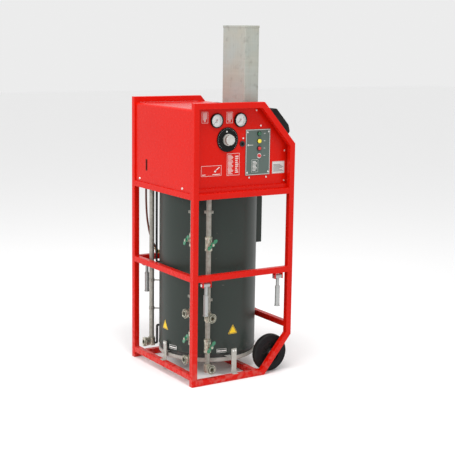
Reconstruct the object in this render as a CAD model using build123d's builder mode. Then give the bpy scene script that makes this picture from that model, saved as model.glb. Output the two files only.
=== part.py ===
"""Mobile hot-water pressure washer: a wheeled tube frame, a sheet-metal cabinet above an insulated boiler,
a flue, riser pipes with ball valves, folding carrying handles and a control panel.

Frame: +Z up, +X to the right of the control panel, the panel looks along -Y, origin on the floor under the
middle of the tube frame, millimetres.
"""

from build123d import *
from math import atan2, cos, hypot, pi, radians, sin, tan
import os

os.makedirs("parts", exist_ok=True)

# ---------------------------------------------------------------- driving dimensions
WIDTH, DEPTH, HEIGHT = 700.0, 755.0, 1650.0
TUBE, TUBE_WALL, TUBE_ROUND = 35.0, 3.0, 3.0
LEFT, RIGHT = -WIDTH / 2, WIDTH / 2
FRONT, BACK = -DEPTH / 2, DEPTH / 2
SHEET = 2.0

KNEE_X, KNEE_Z = LEFT + 509, 231.0  # the lower corner of each side frame is cut off between these
SHOULDER_X, SHOULDER_Z = LEFT + 476, 1400.0  # and so is the upper one
MID_RAIL_Z, CABINET_RAIL_Z, KNEE_RAIL_Z = 622.0, 1100.0, 275.0
FLOOR_RAIL_X = LEFT + 440

PANEL_Y = FRONT + 50  # front face of the control panel
ROOF_Z = HEIGHT - TUBE
CABINET_BOTTOM = CABINET_RAIL_Z + TUBE
COVER_INSET = 15.0  # the slanted cover lies this far inside the frame's outer line
SIDE_INSET = 10.0

BOILER_X, BOILER_Y, BOILER_R = LEFT + 340, FRONT + 398, 298.0
BOILER_PAN_Z, BOILER_RING_Z, JACKET_Z, BOILER_TOP = 90.0, 115.0, 140.0, 1129.0
RING_R, LID_T = BOILER_R - 8, 6.0

FLUE_X, FLUE_Y, FLUE_W, FLUE_D = LEFT + 431, FRONT + 199, 97.0, 239.0  # centre and size of the duct
MOUTH_Y, MOUTH_R = FLUE_Y + 45, 42.0  # round mouth between the boiler and the duct
FLUE_TOP, FLUE_WALL = 2085.0, 2.0

PIPE_R, PIPE_WALL = 15.0, 3.0
FRONT_RISER = (LEFT + 137, FRONT + 58)
LEFT_RISER = (LEFT + 58, FRONT + 105)
REAR_RISER = (LEFT + 60, FRONT + 604)

WHEEL_R, WHEEL_W, AXLE_R = 115.0, 42.0, 10.0
AXLE_X, AXLE_Z = LEFT + 583, 117.0
WHEEL_GAP = 5.0  # between a wheel and the side frame beside it

HANDLE_X = (LEFT + 98, LEFT + 604)
HANDLE_PIVOT_Z = 600.0

CONTROL_X, CONTROL_Z, CONTROL_W, CONTROL_H = LEFT + 463, 1354.0, 172.0, 270.0
LAMP_X, LAMP_STEP = LEFT + 470, 43.0
DIAL_X, DIAL_Z, DIAL_R = LEFT + 251, 1435.0, 71.0
GAUGE_X, GAUGE_Z, GAUGE_R = (LEFT + 176, LEFT + 337), 1546.0, 42.0
SWITCH_X, SWITCH_Z = LEFT + 353, 1407.0

MIN, MID = Align.MIN, Align.CENTER


def upright(y):
    """A drawing plane facing the front: X to the right, Z up, extrusions come forward."""
    return Plane(origin=(0, y, 0), x_dir=(1, 0, 0), z_dir=(0, -1, 0))


def sideways(x):
    """A drawing plane facing the left side: Y across, Z up, extrusions go to the left."""
    return Plane(origin=(x, 0, 0), x_dir=(0, -1, 0), z_dir=(-1, 0, 0))


def outward(x, y, z, direction):
    """A drawing plane at a point, looking along a horizontal direction, with Z up."""
    return Plane(origin=(x, y, z), x_dir=(-direction[1], direction[0], 0), z_dir=(*direction, 0))


def block(low, high, mode=Mode.ADD):
    """A box between two corners, in the part being built."""
    with Locations(tuple((a + b) / 2 for a, b in zip(low, high))):
        Box(*[b - a for a, b in zip(low, high)], mode=mode)


def save(part, name):
    """Label a finished piece and write it."""
    part.label = name
    export_step(part, f"parts/{name}.step")


def group(pieces):
    """Separate solids that share one file."""
    return Compound(children=list(pieces))


# ---------------------------------------------------------------- tube frame
OUTLINE = [
    (LEFT, 0),
    (KNEE_X, 0),
    (RIGHT, KNEE_Z),
    (RIGHT, SHOULDER_Z),
    (SHOULDER_X, HEIGHT),
    (LEFT, HEIGHT),
]


def inset(points, distance):
    """The corners of a closed outline, moved inwards by a distance."""
    moved = []
    for i, (x, z) in enumerate(points):
        (xa, za), (xb, zb) = points[i - 1], points[(i + 1) % len(points)]
        before, after = hypot(x - xa, z - za), hypot(xb - x, zb - z)
        na = ((za - z) / before, (x - xa) / before)
        nb = ((z - zb) / after, (xb - x) / after)
        share = distance / (1 + na[0] * nb[0] + na[1] * nb[1])
        moved.append((x + share * (na[0] + nb[0]), z + share * (na[1] + nb[1])))
    return moved


def frame_tube(i, back_face):
    """One mitred tube of a side frame, from corner i to the next, hollow and open at its mitres."""
    j = (i + 1) % len(OUTLINE)
    run = Vector(OUTLINE[j][0] - OUTLINE[i][0], 0, OUTLINE[j][1] - OUTLINE[i][1]).normalized()
    inner, wall = inset(OUTLINE, TUBE), inset(OUTLINE, TUBE_WALL)
    far_wall = inset(OUTLINE, TUBE - TUBE_WALL)
    with BuildPart() as tube:
        with BuildSketch(upright(back_face)):
            with BuildLine():
                Polyline(OUTLINE[i], OUTLINE[j], inner[j], inner[i], close=True)
            make_face()
        extrude(amount=TUBE)
        along = tube.edges().filter_by(lambda e: abs(e.tangent_at(0.5).dot(run)) > 0.999)
        fillet(along, radius=TUBE_ROUND)
        with BuildSketch(upright(back_face - TUBE_WALL)):
            with BuildLine():
                Polyline(wall[i], wall[j], far_wall[j], far_wall[i], close=True)
            make_face()
        extrude(amount=TUBE - 2 * TUBE_WALL, mode=Mode.SUBTRACT)
    return tube.part


def rail(start, length, axis):
    """A straight hollow tube with its lowest corner at start, along X or Y."""
    size = [length if a == axis else TUBE for a in "XY"] + [TUBE]
    hole = [length if a == axis else TUBE - 2 * TUBE_WALL for a in "XY"] + [TUBE - 2 * TUBE_WALL]
    middle = tuple(s + d / 2 for s, d in zip(start, size))
    with BuildPart() as tube:
        with Locations(middle):
            Box(*size)
        fillet(tube.edges().filter_by(Axis.X if axis == "X" else Axis.Y), radius=TUBE_ROUND)
        with Locations(middle):
            Box(*hole, mode=Mode.SUBTRACT)
    return tube.part


def side_frame(back_face):
    """Six mitred tubes, the lower slanted one bored for the axle, the middle rail and the cabinet rail."""
    tubes = [frame_tube(i, back_face) for i in range(len(OUTLINE))]
    with BuildPart() as bored:
        add(tubes[1])
        with BuildSketch(upright(back_face + 1)):
            with Locations((AXLE_X, AXLE_Z)):
                Circle(AXLE_R)
        extrude(amount=TUBE + 2, mode=Mode.SUBTRACT)
    tubes[1] = bored.part
    for z in (MID_RAIL_Z, CABINET_RAIL_Z):
        tubes.append(rail((LEFT + TUBE, back_face - TUBE, z), WIDTH - 2 * TUBE, "X"))
    return tubes


save(group(side_frame(FRONT + TUBE)), "front_frame")
save(group(side_frame(BACK)), "back_frame")

CROSS_RAILS = [
    (LEFT, TUBE),
    (LEFT, MID_RAIL_Z),
    (LEFT, CABINET_RAIL_Z),
    (RIGHT - TUBE, CABINET_RAIL_Z),
    (RIGHT - TUBE, KNEE_RAIL_Z),
    (FLOOR_RAIL_X, 0),
]
save(group(rail((x, FRONT + TUBE, z), DEPTH - 2 * TUBE, "Y") for x, z in CROSS_RAILS), "cross_rails")

# ---------------------------------------------------------------- cabinet
slope = atan2(HEIGHT - SHOULDER_Z, RIGHT - SHOULDER_X)  # steepness of the slanted side
ridge_x = SHOULDER_X + (HEIGHT - ROOF_Z) / tan(slope) - COVER_INSET / sin(slope)
elbow_x = RIGHT - SIDE_INSET
elbow_z = ROOF_Z - (elbow_x - ridge_x) * tan(slope)
SHEET_FRONT, SHEET_BACK = FRONT + TUBE + 1, BACK - TUBE - 1
BEND = 15.0


def bent_sheet(points, bend, front, back):
    """A sheet that follows an outline in X and Z, its thickness inside the outline's right-hand side."""
    with BuildPart() as sheet:
        with BuildSketch(upright(back)):
            with BuildLine():
                line = FilletPolyline(*points, radius=bend)
                offset(line, amount=SHEET, side=Side.RIGHT)
            make_face()
        extrude(amount=back - front)
    return sheet.part


with BuildPart() as side_roof_sheet:
    add(
        bent_sheet(
            [(LEFT + SIDE_INSET, CABINET_BOTTOM), (LEFT + SIDE_INSET, ROOF_Z), (ridge_x - 4, ROOF_Z)],
            BEND,
            SHEET_FRONT,
            SHEET_BACK,
        )
    )
    with Locations((FLUE_X, FLUE_Y, ROOF_Z)):
        Box(FLUE_W + 1, FLUE_D + 1, 4 * SHEET, mode=Mode.SUBTRACT)
    with BuildSketch(sideways(LEFT + SIDE_INSET + 2 * SHEET)):
        with Locations((-(FRONT + 581), 1245)):
            SlotOverall(60, 9, rotation=90)
    extrude(amount=3 * SHEET, mode=Mode.SUBTRACT)
save(side_roof_sheet.part, "side_roof_sheet")

with BuildPart() as slanted_cover:
    add(
        bent_sheet(
            [(ridge_x, ROOF_Z), (elbow_x, elbow_z), (elbow_x, CABINET_BOTTOM)],
            BEND,
            SHEET_FRONT,
            SHEET_BACK,
        )
    )
    vent_plane = Plane(
        origin=((ridge_x + elbow_x) / 2, 0, (ROOF_Z + elbow_z) / 2),
        x_dir=(cos(slope), 0, -sin(slope)),
        z_dir=(sin(slope), 0, cos(slope)),
    )
    with BuildSketch(vent_plane):
        with GridLocations(1, 90, 1, 6):
            SlotOverall(150, 40)
    extrude(amount=5 * SHEET, both=True, mode=Mode.SUBTRACT)
save(slanted_cover.part, "slanted_cover")

PANEL_OUTLINE = [
    (LEFT + SIDE_INSET + SHEET, CABINET_BOTTOM + 23),
    (LEFT + SIDE_INSET + SHEET, ROOF_Z - SHEET),
    (ridge_x - SHEET, ROOF_Z - SHEET),
    (elbow_x - SHEET, elbow_z - SHEET),
    (elbow_x - SHEET, CABINET_BOTTOM + 23),
]
LIP_TOP = CABINET_BOTTOM + 23
LIP_Y = FRONT + 28
PANEL_HOLES = [(x, GAUGE_Z, 36.5) for x in GAUGE_X]
PANEL_HOLES += [(DIAL_X, DIAL_Z, 8.1), (SWITCH_X, SWITCH_Z, 11.0)]

with BuildPart() as front_panel:
    with BuildSketch(upright(PANEL_Y + SHEET)) as outline:
        Polygon(*PANEL_OUTLINE, align=None)
        fillet(outline.vertices().filter_by(lambda v: v.Y > LIP_TOP + 1), radius=BEND)
        for x, z, r in PANEL_HOLES:
            with Locations((x, z)):
                Circle(r, mode=Mode.SUBTRACT)
        with Locations((CONTROL_X, CONTROL_Z)):
            Rectangle(CONTROL_W - 24, CONTROL_H - 24, mode=Mode.SUBTRACT)
    extrude(amount=SHEET)
    inner_left, inner_right = LEFT + TUBE + 1, RIGHT - TUBE - 1
    block((inner_left, LIP_Y, LIP_TOP - SHEET), (inner_right, PANEL_Y + SHEET, LIP_TOP))
    block((inner_left, LIP_Y, CABINET_BOTTOM), (inner_right, LIP_Y + SHEET, LIP_TOP))
save(front_panel.part, "front_panel")

REAR_PANEL_Y = BACK - 50
with BuildPart() as rear_panel:
    with BuildSketch(upright(REAR_PANEL_Y)) as outline:
        Polygon(*PANEL_OUTLINE[1:4], (elbow_x - SHEET, CABINET_BOTTOM + SHEET),
                (LEFT + SIDE_INSET + SHEET, CABINET_BOTTOM + SHEET), align=None)
        fillet(outline.vertices().filter_by(lambda v: v.Y > LIP_TOP + 1), radius=BEND)
        with Locations((LEFT + 330, 1330)):
            with GridLocations(1, 32, 1, 7):
                SlotOverall(300, 9, mode=Mode.SUBTRACT)
    extrude(amount=SHEET)
save(rear_panel.part, "rear_panel")

BURNER_X, BURNER_Y, BURNER_R = LEFT + 200, FRONT + 300, 60.0
with BuildPart() as cabinet_floor:
    block((LEFT + SIDE_INSET + SHEET, PANEL_Y + SHEET, CABINET_BOTTOM),
          (elbow_x - SHEET, REAR_PANEL_Y - SHEET, CABINET_BOTTOM + SHEET))
    pipes = [(*place, PIPE_R + 0.5) for place in (FRONT_RISER, LEFT_RISER, REAR_RISER)]
    for x, y, r in pipes + [(BURNER_X, BURNER_Y, BURNER_R + 0.5), (FLUE_X, MOUTH_Y, MOUTH_R)]:
        with Locations((x, y, CABINET_BOTTOM)):
            Cylinder(r, 6 * SHEET, mode=Mode.SUBTRACT)
save(cabinet_floor.part, "cabinet_floor")

# Black moulded cowl over the vents of the slanted cover.
COWL_FRONT, COWL_BACK, COWL_WALL = FRONT + 45, BACK - 45, 4.0


def over_slope(along, rise):
    """A point this far down the slanted cover from the ridge and this far out from it."""
    return (ridge_x + along * cos(slope) + rise * sin(slope), ROOF_Z - along * sin(slope) + rise * cos(slope))


COWL_RISE = 71.0
COWL_OUTLINE = [
    over_slope(12, 0),
    over_slope(75, COWL_RISE),
    over_slope(208, COWL_RISE),
    over_slope(244, 52),
    over_slope(252, 0),
]


def cowl_block(points, radius, front, back):
    """The cowl's outline, rounded at its bends, run across the cabinet."""
    with BuildPart() as body:
        with BuildSketch(upright(back)):
            with BuildLine():
                outline = FilletPolyline(*points, radius=radius)
                Line(outline @ 1, outline @ 0)
            make_face()
        extrude(amount=back - front)
    return body.part


COWL_HOLLOW = [
    over_slope(18, -1),
    over_slope(78, COWL_RISE - COWL_WALL),
    over_slope(206, COWL_RISE - COWL_WALL),
    over_slope(240, 50),
    over_slope(248, -1),
]
with BuildPart() as intake_cowl:
    add(cowl_block(COWL_OUTLINE, 14, COWL_FRONT, COWL_BACK))
    add(cowl_block(COWL_HOLLOW, 10, COWL_FRONT + COWL_WALL, COWL_BACK - COWL_WALL), mode=Mode.SUBTRACT)
    with BuildSketch(vent_plane.offset(COWL_RISE + COWL_WALL)):
        with GridLocations(1, 56, 1, 10):
            SlotOverall(96, 12)
    extrude(amount=-3 * COWL_WALL, mode=Mode.SUBTRACT)
save(intake_cowl.part, "intake_cowl")

# ---------------------------------------------------------------- flue
FLUE_BOTTOM = CABINET_BOTTOM + SHEET
with BuildPart() as flue_duct:
    with Locations((FLUE_X, FLUE_Y, FLUE_BOTTOM)):
        Box(FLUE_W, FLUE_D, FLUE_TOP - FLUE_BOTTOM, align=(MID, MID, MIN))
    fillet(flue_duct.edges().filter_by(Axis.Z), radius=3)
    with Locations((FLUE_X, FLUE_Y, FLUE_BOTTOM)):
        Box(FLUE_W - 2 * FLUE_WALL, FLUE_D - 2 * FLUE_WALL, FLUE_TOP - FLUE_BOTTOM,
            align=(MID, MID, MIN), mode=Mode.SUBTRACT)
save(flue_duct.part, "flue_duct")

# ---------------------------------------------------------------- boiler
with BuildPart() as boiler_jacket:
    with Locations((BOILER_X, BOILER_Y, JACKET_Z)):
        Cylinder(BOILER_R, BOILER_TOP - JACKET_Z, align=(MID, MID, MIN))
        Cylinder(BOILER_R - SHEET, BOILER_TOP - JACKET_Z, align=(MID, MID, MIN), mode=Mode.SUBTRACT)
save(boiler_jacket.part, "boiler_jacket")

# The lid carries the burner and, beside it, the mouth of the flue.
with BuildPart() as boiler_lid:
    with Locations((BOILER_X, BOILER_Y, BOILER_TOP)):
        Cylinder(BOILER_R, LID_T, align=(MID, MID, MIN))
    for x, y, r in [(BURNER_X, BURNER_Y, BURNER_R + 0.5), (FLUE_X, MOUTH_Y, MOUTH_R)]:
        with Locations((x, y, BOILER_TOP)):
            Cylinder(r, 6 * LID_T, mode=Mode.SUBTRACT)
save(boiler_lid.part, "boiler_lid")

with BuildPart() as boiler_base_ring:
    with Locations((BOILER_X, BOILER_Y, BOILER_RING_Z)):
        Cylinder(RING_R, JACKET_Z - BOILER_RING_Z, align=(MID, MID, MIN))
        Cylinder(RING_R - 6, JACKET_Z - BOILER_RING_Z, align=(MID, MID, MIN), mode=Mode.SUBTRACT)
save(boiler_base_ring.part, "boiler_base_ring")

with BuildPart() as boiler_pan:
    with Locations((BOILER_X, BOILER_Y, BOILER_PAN_Z)):
        Cylinder(BOILER_R, BOILER_RING_Z - BOILER_PAN_Z, align=(MID, MID, MIN))
    fillet(boiler_pan.edges().group_by(Axis.Z)[0], radius=6)
    with Locations((BOILER_X, BOILER_Y, BOILER_PAN_Z + 3)):
        Cylinder(BOILER_R - 14, BOILER_RING_Z - BOILER_PAN_Z, align=(MID, MID, MIN), mode=Mode.SUBTRACT)
save(boiler_pan.part, "boiler_pan")

COIL_R, COIL_TUBE, COIL_PITCH, COIL_TURNS = 215.0, 12.0, 70.0, 10
with BuildPart() as heating_coil:
    with BuildLine() as coil_line:
        Helix(COIL_PITCH, COIL_PITCH * COIL_TURNS, COIL_R, center=(BOILER_X, BOILER_Y, 260))
    with BuildSketch(Plane(origin=coil_line.line @ 0, z_dir=coil_line.line % 0)):
        Circle(COIL_TUBE)
        Circle(COIL_TUBE - 3, mode=Mode.SUBTRACT)
    sweep(is_frenet=True)
save(heating_coil.part, "heating_coil")

# Four straps carry the boiler: three stand on the lowest tubes and one reaches over to the knee rail.
# Each is a lug on the base ring with an upturned tab, bolted to an upright strip with a foot.
STRAP_W, STRAP_T, STRAP_TOP, LUG_Z = 34.0, 3.0, 186.0, 124.0
STRAP_BOLT_Z, STRAP_BOLT_STEP = 175.0, 16.0


def standing_strap(direction, reach, foot_z, shift):
    """Lug and strip on one side of the boiler; reach runs from its middle to the outside of the frame."""
    across = Vector(-direction[1], direction[0], 0)
    middle = Vector(BOILER_X, BOILER_Y, 0) + across * shift
    plane = Plane(origin=middle, x_dir=(*direction, 0), z_dir=(direction[1], -direction[0], 0))
    stand = reach - 27
    with BuildPart() as lug:
        with BuildSketch(plane):
            with BuildLine():
                Polyline((RING_R - 60, LUG_Z), (stand - STRAP_T, LUG_Z), (stand - STRAP_T, STRAP_TOP),
                         (stand - 2 * STRAP_T, STRAP_TOP), (stand - 2 * STRAP_T, LUG_Z + STRAP_T),
                         (RING_R - 60, LUG_Z + STRAP_T), close=True)
            make_face()
        extrude(amount=STRAP_W / 2, both=True)
        with Locations((BOILER_X, BOILER_Y, LUG_Z)):
            Cylinder(RING_R + 0.1, 4 * STRAP_T, mode=Mode.SUBTRACT)
    with BuildPart() as strip:
        with BuildSketch(plane):
            with BuildLine():
                Polyline((stand - STRAP_T, STRAP_TOP), (stand, STRAP_TOP), (stand, foot_z + STRAP_T),
                         (reach - 4, foot_z + STRAP_T), (reach - 4, foot_z), (stand - STRAP_T, foot_z),
                         close=True)
            make_face()
        extrude(amount=STRAP_W / 2, both=True)
    return [lug.part, strip.part]


FRONT_STRAP_SHIFT, LEFT_STRAP_SHIFT = -34.0, 22.0
reach_front, reach_left, reach_back = BOILER_Y - FRONT, BOILER_X - LEFT, BACK - BOILER_Y
knee_seat = KNEE_RAIL_Z + TUBE
with BuildPart() as knee_strap:
    block((BOILER_X + BOILER_R + 0.2, BOILER_Y - STRAP_W / 2, knee_seat),
          (RIGHT - 4, BOILER_Y + STRAP_W / 2, knee_seat + STRAP_T))
    block((BOILER_X + BOILER_R + 0.2, BOILER_Y - STRAP_W / 2, knee_seat),
          (BOILER_X + BOILER_R + 0.2 + STRAP_T, BOILER_Y + STRAP_W / 2, knee_seat + 60))
straps = [
    *standing_strap((0, -1), reach_front, TUBE, FRONT_STRAP_SHIFT),
    *standing_strap((-1, 0), reach_left, 2 * TUBE, LEFT_STRAP_SHIFT),
    *standing_strap((0, 1), reach_back, TUBE, -FRONT_STRAP_SHIFT),
    knee_strap.part,
]
save(group(straps), "boiler_straps")

# Electrical connection box on the boiler's right side.
with BuildPart() as junction_box:
    block((BOILER_X + BOILER_R - 34, BOILER_Y - 110, 760), (RIGHT - 36, BOILER_Y + 40, 1048))
    fillet(junction_box.edges().filter_by(Axis.X), radius=6)
    with Locations((BOILER_X, BOILER_Y, 760)):
        Cylinder(BOILER_R + 0.3, 700, mode=Mode.SUBTRACT)
save(junction_box.part, "junction_box")


# ---------------------------------------------------------------- bolts, screws and plates
def hex_head(x, y, z, direction, radius, height):
    """A hexagon bolt head standing on a face, looking in a horizontal direction."""
    with BuildPart() as head:
        with BuildSketch(outward(x, y, z, direction)):
            RegularPolygon(radius, 6)
        extrude(amount=height)
        chamfer(head.faces().sort_by(Axis((x, y, z), (*direction, 0)))[-1].edges(), length=0.8)
    return head.part


AHEAD, ASTERN, PORT = (0, -1), (0, 1), (-1, 0)
bolts = [hex_head(LEFT + SIDE_INSET, FRONT + y, 1154, PORT, 8, 5) for y in (144, 664)]
for step in (-STRAP_BOLT_STEP / 2, STRAP_BOLT_STEP / 2):
    x, y = BOILER_X + FRONT_STRAP_SHIFT + step, BOILER_Y - LEFT_STRAP_SHIFT + step
    bolts.append(hex_head(x, FRONT + 27, STRAP_BOLT_Z, AHEAD, 6, 5))
    bolts.append(hex_head(LEFT + 27, y, STRAP_BOLT_Z, PORT, 6, 5))
    bolts.append(hex_head(BOILER_X - FRONT_STRAP_SHIFT - step, BACK - 27, STRAP_BOLT_Z, ASTERN, 6, 5))

PLATE_T = 3.0
PANEL_SCREWS = [(450, 1600), (482, 1509), (360, 1439), (406, 1206), (526, 1204), (656, 1356), (656, 1176)]
screw_places = [(LEFT + x, PANEL_Y, z) for x, z in PANEL_SCREWS]
for x in (-1, 1):
    for z in (-1, 1):
        corner_x, corner_z = CONTROL_X + x * (CONTROL_W / 2 - 12), CONTROL_Z + z * (CONTROL_H / 2 - 16)
        screw_places.append((corner_x, PANEL_Y - PLATE_T, corner_z))


def button_head(place):
    """A low round screw head with a hexagon socket, standing on the panel."""
    with BuildPart() as head:
        with BuildSketch(outward(*place, AHEAD)):
            Circle(5.5)
        extrude(amount=2.4)
        fillet(head.faces().sort_by(Axis.Y)[0].edges(), radius=1.4)
        with BuildSketch(outward(place[0], place[1] - 2.4, place[2], AHEAD)):
            RegularPolygon(2.2, 6)
        extrude(amount=-1.2, mode=Mode.SUBTRACT)
    return head.part


save(group(bolts + [button_head(place) for place in screw_places]), "screws_and_bolts")


def flat_plate(x, z, width, height, thickness=0.8, y=PANEL_Y):
    """A thin label plate on the control panel, given by its middle."""
    with BuildPart() as plate:
        with BuildSketch(outward(x, y, z, AHEAD)):
            RectangleRounded(width, height, 2)
        extrude(amount=thickness)
    return plate.part


def wrapped_plate(angle, radius, corners):
    """A thin plate wrapped round the boiler; corners give its outline as seen from outside."""
    direction = (cos(radians(angle)), sin(radians(angle)))
    with BuildPart() as plate:
        with Locations((BOILER_X, BOILER_Y, 0)):
            Cylinder(radius + 0.8, 900, align=(MID, MID, MIN))
            Cylinder(radius, 900, align=(MID, MID, MIN), mode=Mode.SUBTRACT)
        with BuildSketch(outward(BOILER_X, BOILER_Y, 0, direction)) as outline:
            Polygon(*corners, align=None)
            fillet(outline.vertices(), radius=3)
        extrude(amount=2 * BOILER_R, mode=Mode.INTERSECT)
    return plate.part


WARNING = [(-33, 257), (33, 257), (0, 315)]
RATING = [(-32, 146), (32, 146), (32, 172), (-32, 172)]
plates = [
    flat_plate(LEFT + 98, 1566, 46, 68),
    flat_plate(LEFT + 264, 1562, 46, 68),
    flat_plate(LEFT + 144, 1259, 140, 64),
    flat_plate(LEFT + 293, 1290, 90, 132),
    flat_plate(LEFT + 613, 1257, 88, 72),
    flat_plate(LEFT + 442, 1274, 50, 78, y=PANEL_Y - PLATE_T),
    wrapped_plate(-90, BOILER_R, WARNING),
    wrapped_plate(180, BOILER_R, WARNING),
    wrapped_plate(-104, BOILER_R, RATING),
    wrapped_plate(-165, BOILER_R, RATING),
]

# ---------------------------------------------------------------- pipework
RISER_TOP = CABINET_BOTTOM + 15
UPPER_VALVE, LOWER_VALVE = 834.0, 222.0
MIDDLE_OUTLET, LOWER_OUTLET = 397.0, 86.0
LEFT_RAISE = 24.0  # the left pipe's fittings sit this much higher than the front pipe's
LEFT_LOWER_OUTLET = 143.0
CLAW_Z = 128.0


def riser(place, bottom):
    """An upright steel pipe."""
    with BuildPart() as pipe:
        with Locations((*place, bottom)):
            Cylinder(PIPE_R, RISER_TOP - bottom, align=(MID, MID, MIN))
            Cylinder(PIPE_R - PIPE_WALL, RISER_TOP - bottom, align=(MID, MID, MIN), mode=Mode.SUBTRACT)
    return pipe.part


save(riser(FRONT_RISER, LOWER_OUTLET - 20), "front_riser")
save(riser(LEFT_RISER, LEFT_LOWER_OUTLET - 20), "left_riser")
save(riser(REAR_RISER, CLAW_Z - 20), "rear_riser")

STEM_R, STEM_REACH, HUB_IN, HUB_OUT = 5.0, 55.0, 41.0, 51.0
SLEEVE = PIPE_R + 0.2  # bore of the fittings that go round a pipe


def ball_valve(place, z, direction):
    """A two-piece ball valve body round a pipe, with its bonnet, stem and the nut that holds the handle."""
    with BuildPart() as valve:
        with Locations((*place, z)):
            Cylinder(20, 52)
        for end in (-1, 1):
            with BuildSketch(Plane.XY.offset(z + end * 26)):
                with Locations(place):
                    RegularPolygon(24, 6)
            extrude(amount=end * 13)
        with BuildSketch(outward(*place, z, direction)):
            Circle(13)
        extrude(amount=30)
        with BuildSketch(outward(*place, z, direction)):
            Circle(9)
        extrude(amount=HUB_IN - 1)
        with BuildSketch(outward(*place, z, direction)):
            Circle(STEM_R)
        extrude(amount=STEM_REACH)
        tip = outward(*place, z, direction).offset(HUB_OUT + 0.3)
        with BuildSketch(tip):
            RegularPolygon(8, 6)
        extrude(amount=STEM_REACH - HUB_OUT - 0.9)
        with Locations((*place, z)):
            Cylinder(SLEEVE, 120, mode=Mode.SUBTRACT)
    return valve.part


VALVES = {
    "front_upper": (FRONT_RISER, UPPER_VALVE, AHEAD, 42),
    "front_lower": (FRONT_RISER, LOWER_VALVE, AHEAD, 52),
    "left_upper": (LEFT_RISER, UPPER_VALVE + LEFT_RAISE, PORT, 45),
    "left_lower": (LEFT_RISER, LOWER_VALVE + 2 * LEFT_RAISE, PORT, 45),
}
save(group(ball_valve(*spec[:3]) for spec in VALVES.values()), "valve_bodies")

for name, (place, z, direction, turn) in VALVES.items():
    with BuildPart() as valve_handle:
        face = outward(*place, z, direction).offset(HUB_IN)
        with BuildSketch(face):
            SlotOverall(72, 15, rotation=turn)
            with PolarLocations(27, 2, start_angle=turn):
                Ellipse(14, 10.5)
        extrude(amount=5)
        with BuildSketch(face):
            Circle(12)
        extrude(amount=HUB_OUT - HUB_IN)
        with BuildSketch(face):
            Circle(STEM_R + 0.06)
        extrude(amount=HUB_OUT, mode=Mode.SUBTRACT)
    save(valve_handle.part, f"{name}_valve_handle")

OUTLET_BORE = 11.0
FACE_GAP = 3.0  # from a coupling's mouth to the outside of the frame


def outlet(place, z, direction, reach):
    """A tee on a pipe with a ringed hose coupling that looks outwards; reach runs from pipe to mouth."""
    look = outward(*place, z, direction)
    with BuildPart() as coupling:
        with Locations((*place, z)):
            Cylinder(21, 50)
        rings = [(15, 0, reach), (24, reach - 38, reach - 24), (28, reach - 16, reach - 4),
                 (20, reach - 4, reach)]
        for radius, start, stop in rings:
            with BuildSketch(look.offset(start)):
                Circle(radius)
            extrude(amount=stop - start)
        with Locations((*place, z)):
            Cylinder(SLEEVE, 60, mode=Mode.SUBTRACT)
        with BuildSketch(look.offset(SLEEVE)):
            Circle(OUTLET_BORE)
        extrude(amount=reach, mode=Mode.SUBTRACT)
    return coupling.part


reach_ahead, reach_port = FRONT_RISER[1] - FRONT - FACE_GAP, LEFT_RISER[0] - LEFT - FACE_GAP
outlets = [
    outlet(FRONT_RISER, MIDDLE_OUTLET, AHEAD, reach_ahead),
    outlet(FRONT_RISER, LOWER_OUTLET, AHEAD, reach_ahead),
    outlet(LEFT_RISER, MIDDLE_OUTLET + LEFT_RAISE, PORT, reach_port),
    outlet(LEFT_RISER, LEFT_LOWER_OUTLET, PORT, reach_port),
]
save(group(outlets), "hose_couplings")

# The water inlet at the foot of the rear pipe: a claw coupling that looks to the left.
CLAW_BORE = 13.0
claw_reach = REAR_RISER[0] - LEFT - FACE_GAP
with BuildPart() as claw_coupling:
    look = outward(*REAR_RISER, CLAW_Z, PORT)
    with Locations((*REAR_RISER, CLAW_Z)):
        Cylinder(22, 50)
    rings = [(17, 0, claw_reach), (26, claw_reach - 30, claw_reach - 20),
             (29, claw_reach - 14, claw_reach - 7)]
    for radius, start, stop in rings:
        with BuildSketch(look.offset(start)):
            Circle(radius)
        extrude(amount=stop - start)
    with BuildSketch(look.offset(claw_reach - 7)):
        for turn in (35, 215):
            with BuildLine():
                claw = CenterArc((0, 0), 29, turn, 80)
                inner_claw = CenterArc((0, 0), 19, turn, 80)
                Line(claw @ 0, inner_claw @ 0)
                Line(claw @ 1, inner_claw @ 1)
            make_face()
    extrude(amount=7)
    with Locations((*REAR_RISER, CLAW_Z)):
        Cylinder(SLEEVE, 60, mode=Mode.SUBTRACT)
    with BuildSketch(look.offset(SLEEVE)):
        Circle(CLAW_BORE)
    extrude(amount=claw_reach, mode=Mode.SUBTRACT)
save(claw_coupling.part, "claw_coupling")

# Thin brown hose from the cabinet floor to a boss on the boiler, and the black sensor conduit beside it.
HOSE_R = 6.0
HOSE_POINTS = [(72, 702, 1104), (72, 702, 1000), (74, 692, 890), (82, 668, 790), (103, 634, 716)]
HOSE_ROUTE = [(LEFT + x, FRONT + y, z) for x, y, z in HOSE_POINTS]


def round_route(points, share=0.45):
    """Radius of each bend: a share of its shorter run over the tangent of half its turn."""
    radii = []
    for a, b, c in zip(points, points[1:], points[2:]):
        before, after = Vector(*b) - Vector(*a), Vector(*c) - Vector(*b)
        turn = radians(before.get_angle(after))
        radii.append(share * min(before.length, after.length) / tan(turn / 2))
    return radii


def tube_along(points, radii, radius):
    """A solid round tube along straight runs joined by tangent arcs."""
    with BuildPart() as tube:
        with BuildLine():
            path = FilletPolyline(*points, radius=radii)
        with BuildSketch(Plane(origin=path @ 0, z_dir=path % 0)):
            Circle(radius)
        sweep()
    print("tube", round(path.length), "mm, bends", [round(r) for r in radii],
          "volume ratio", round(tube.part.volume / (pi * radius**2 * path.length), 4))
    return tube.part


save(tube_along(HOSE_ROUTE, round_route(HOSE_ROUTE), HOSE_R), "supply_hose")

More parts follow.
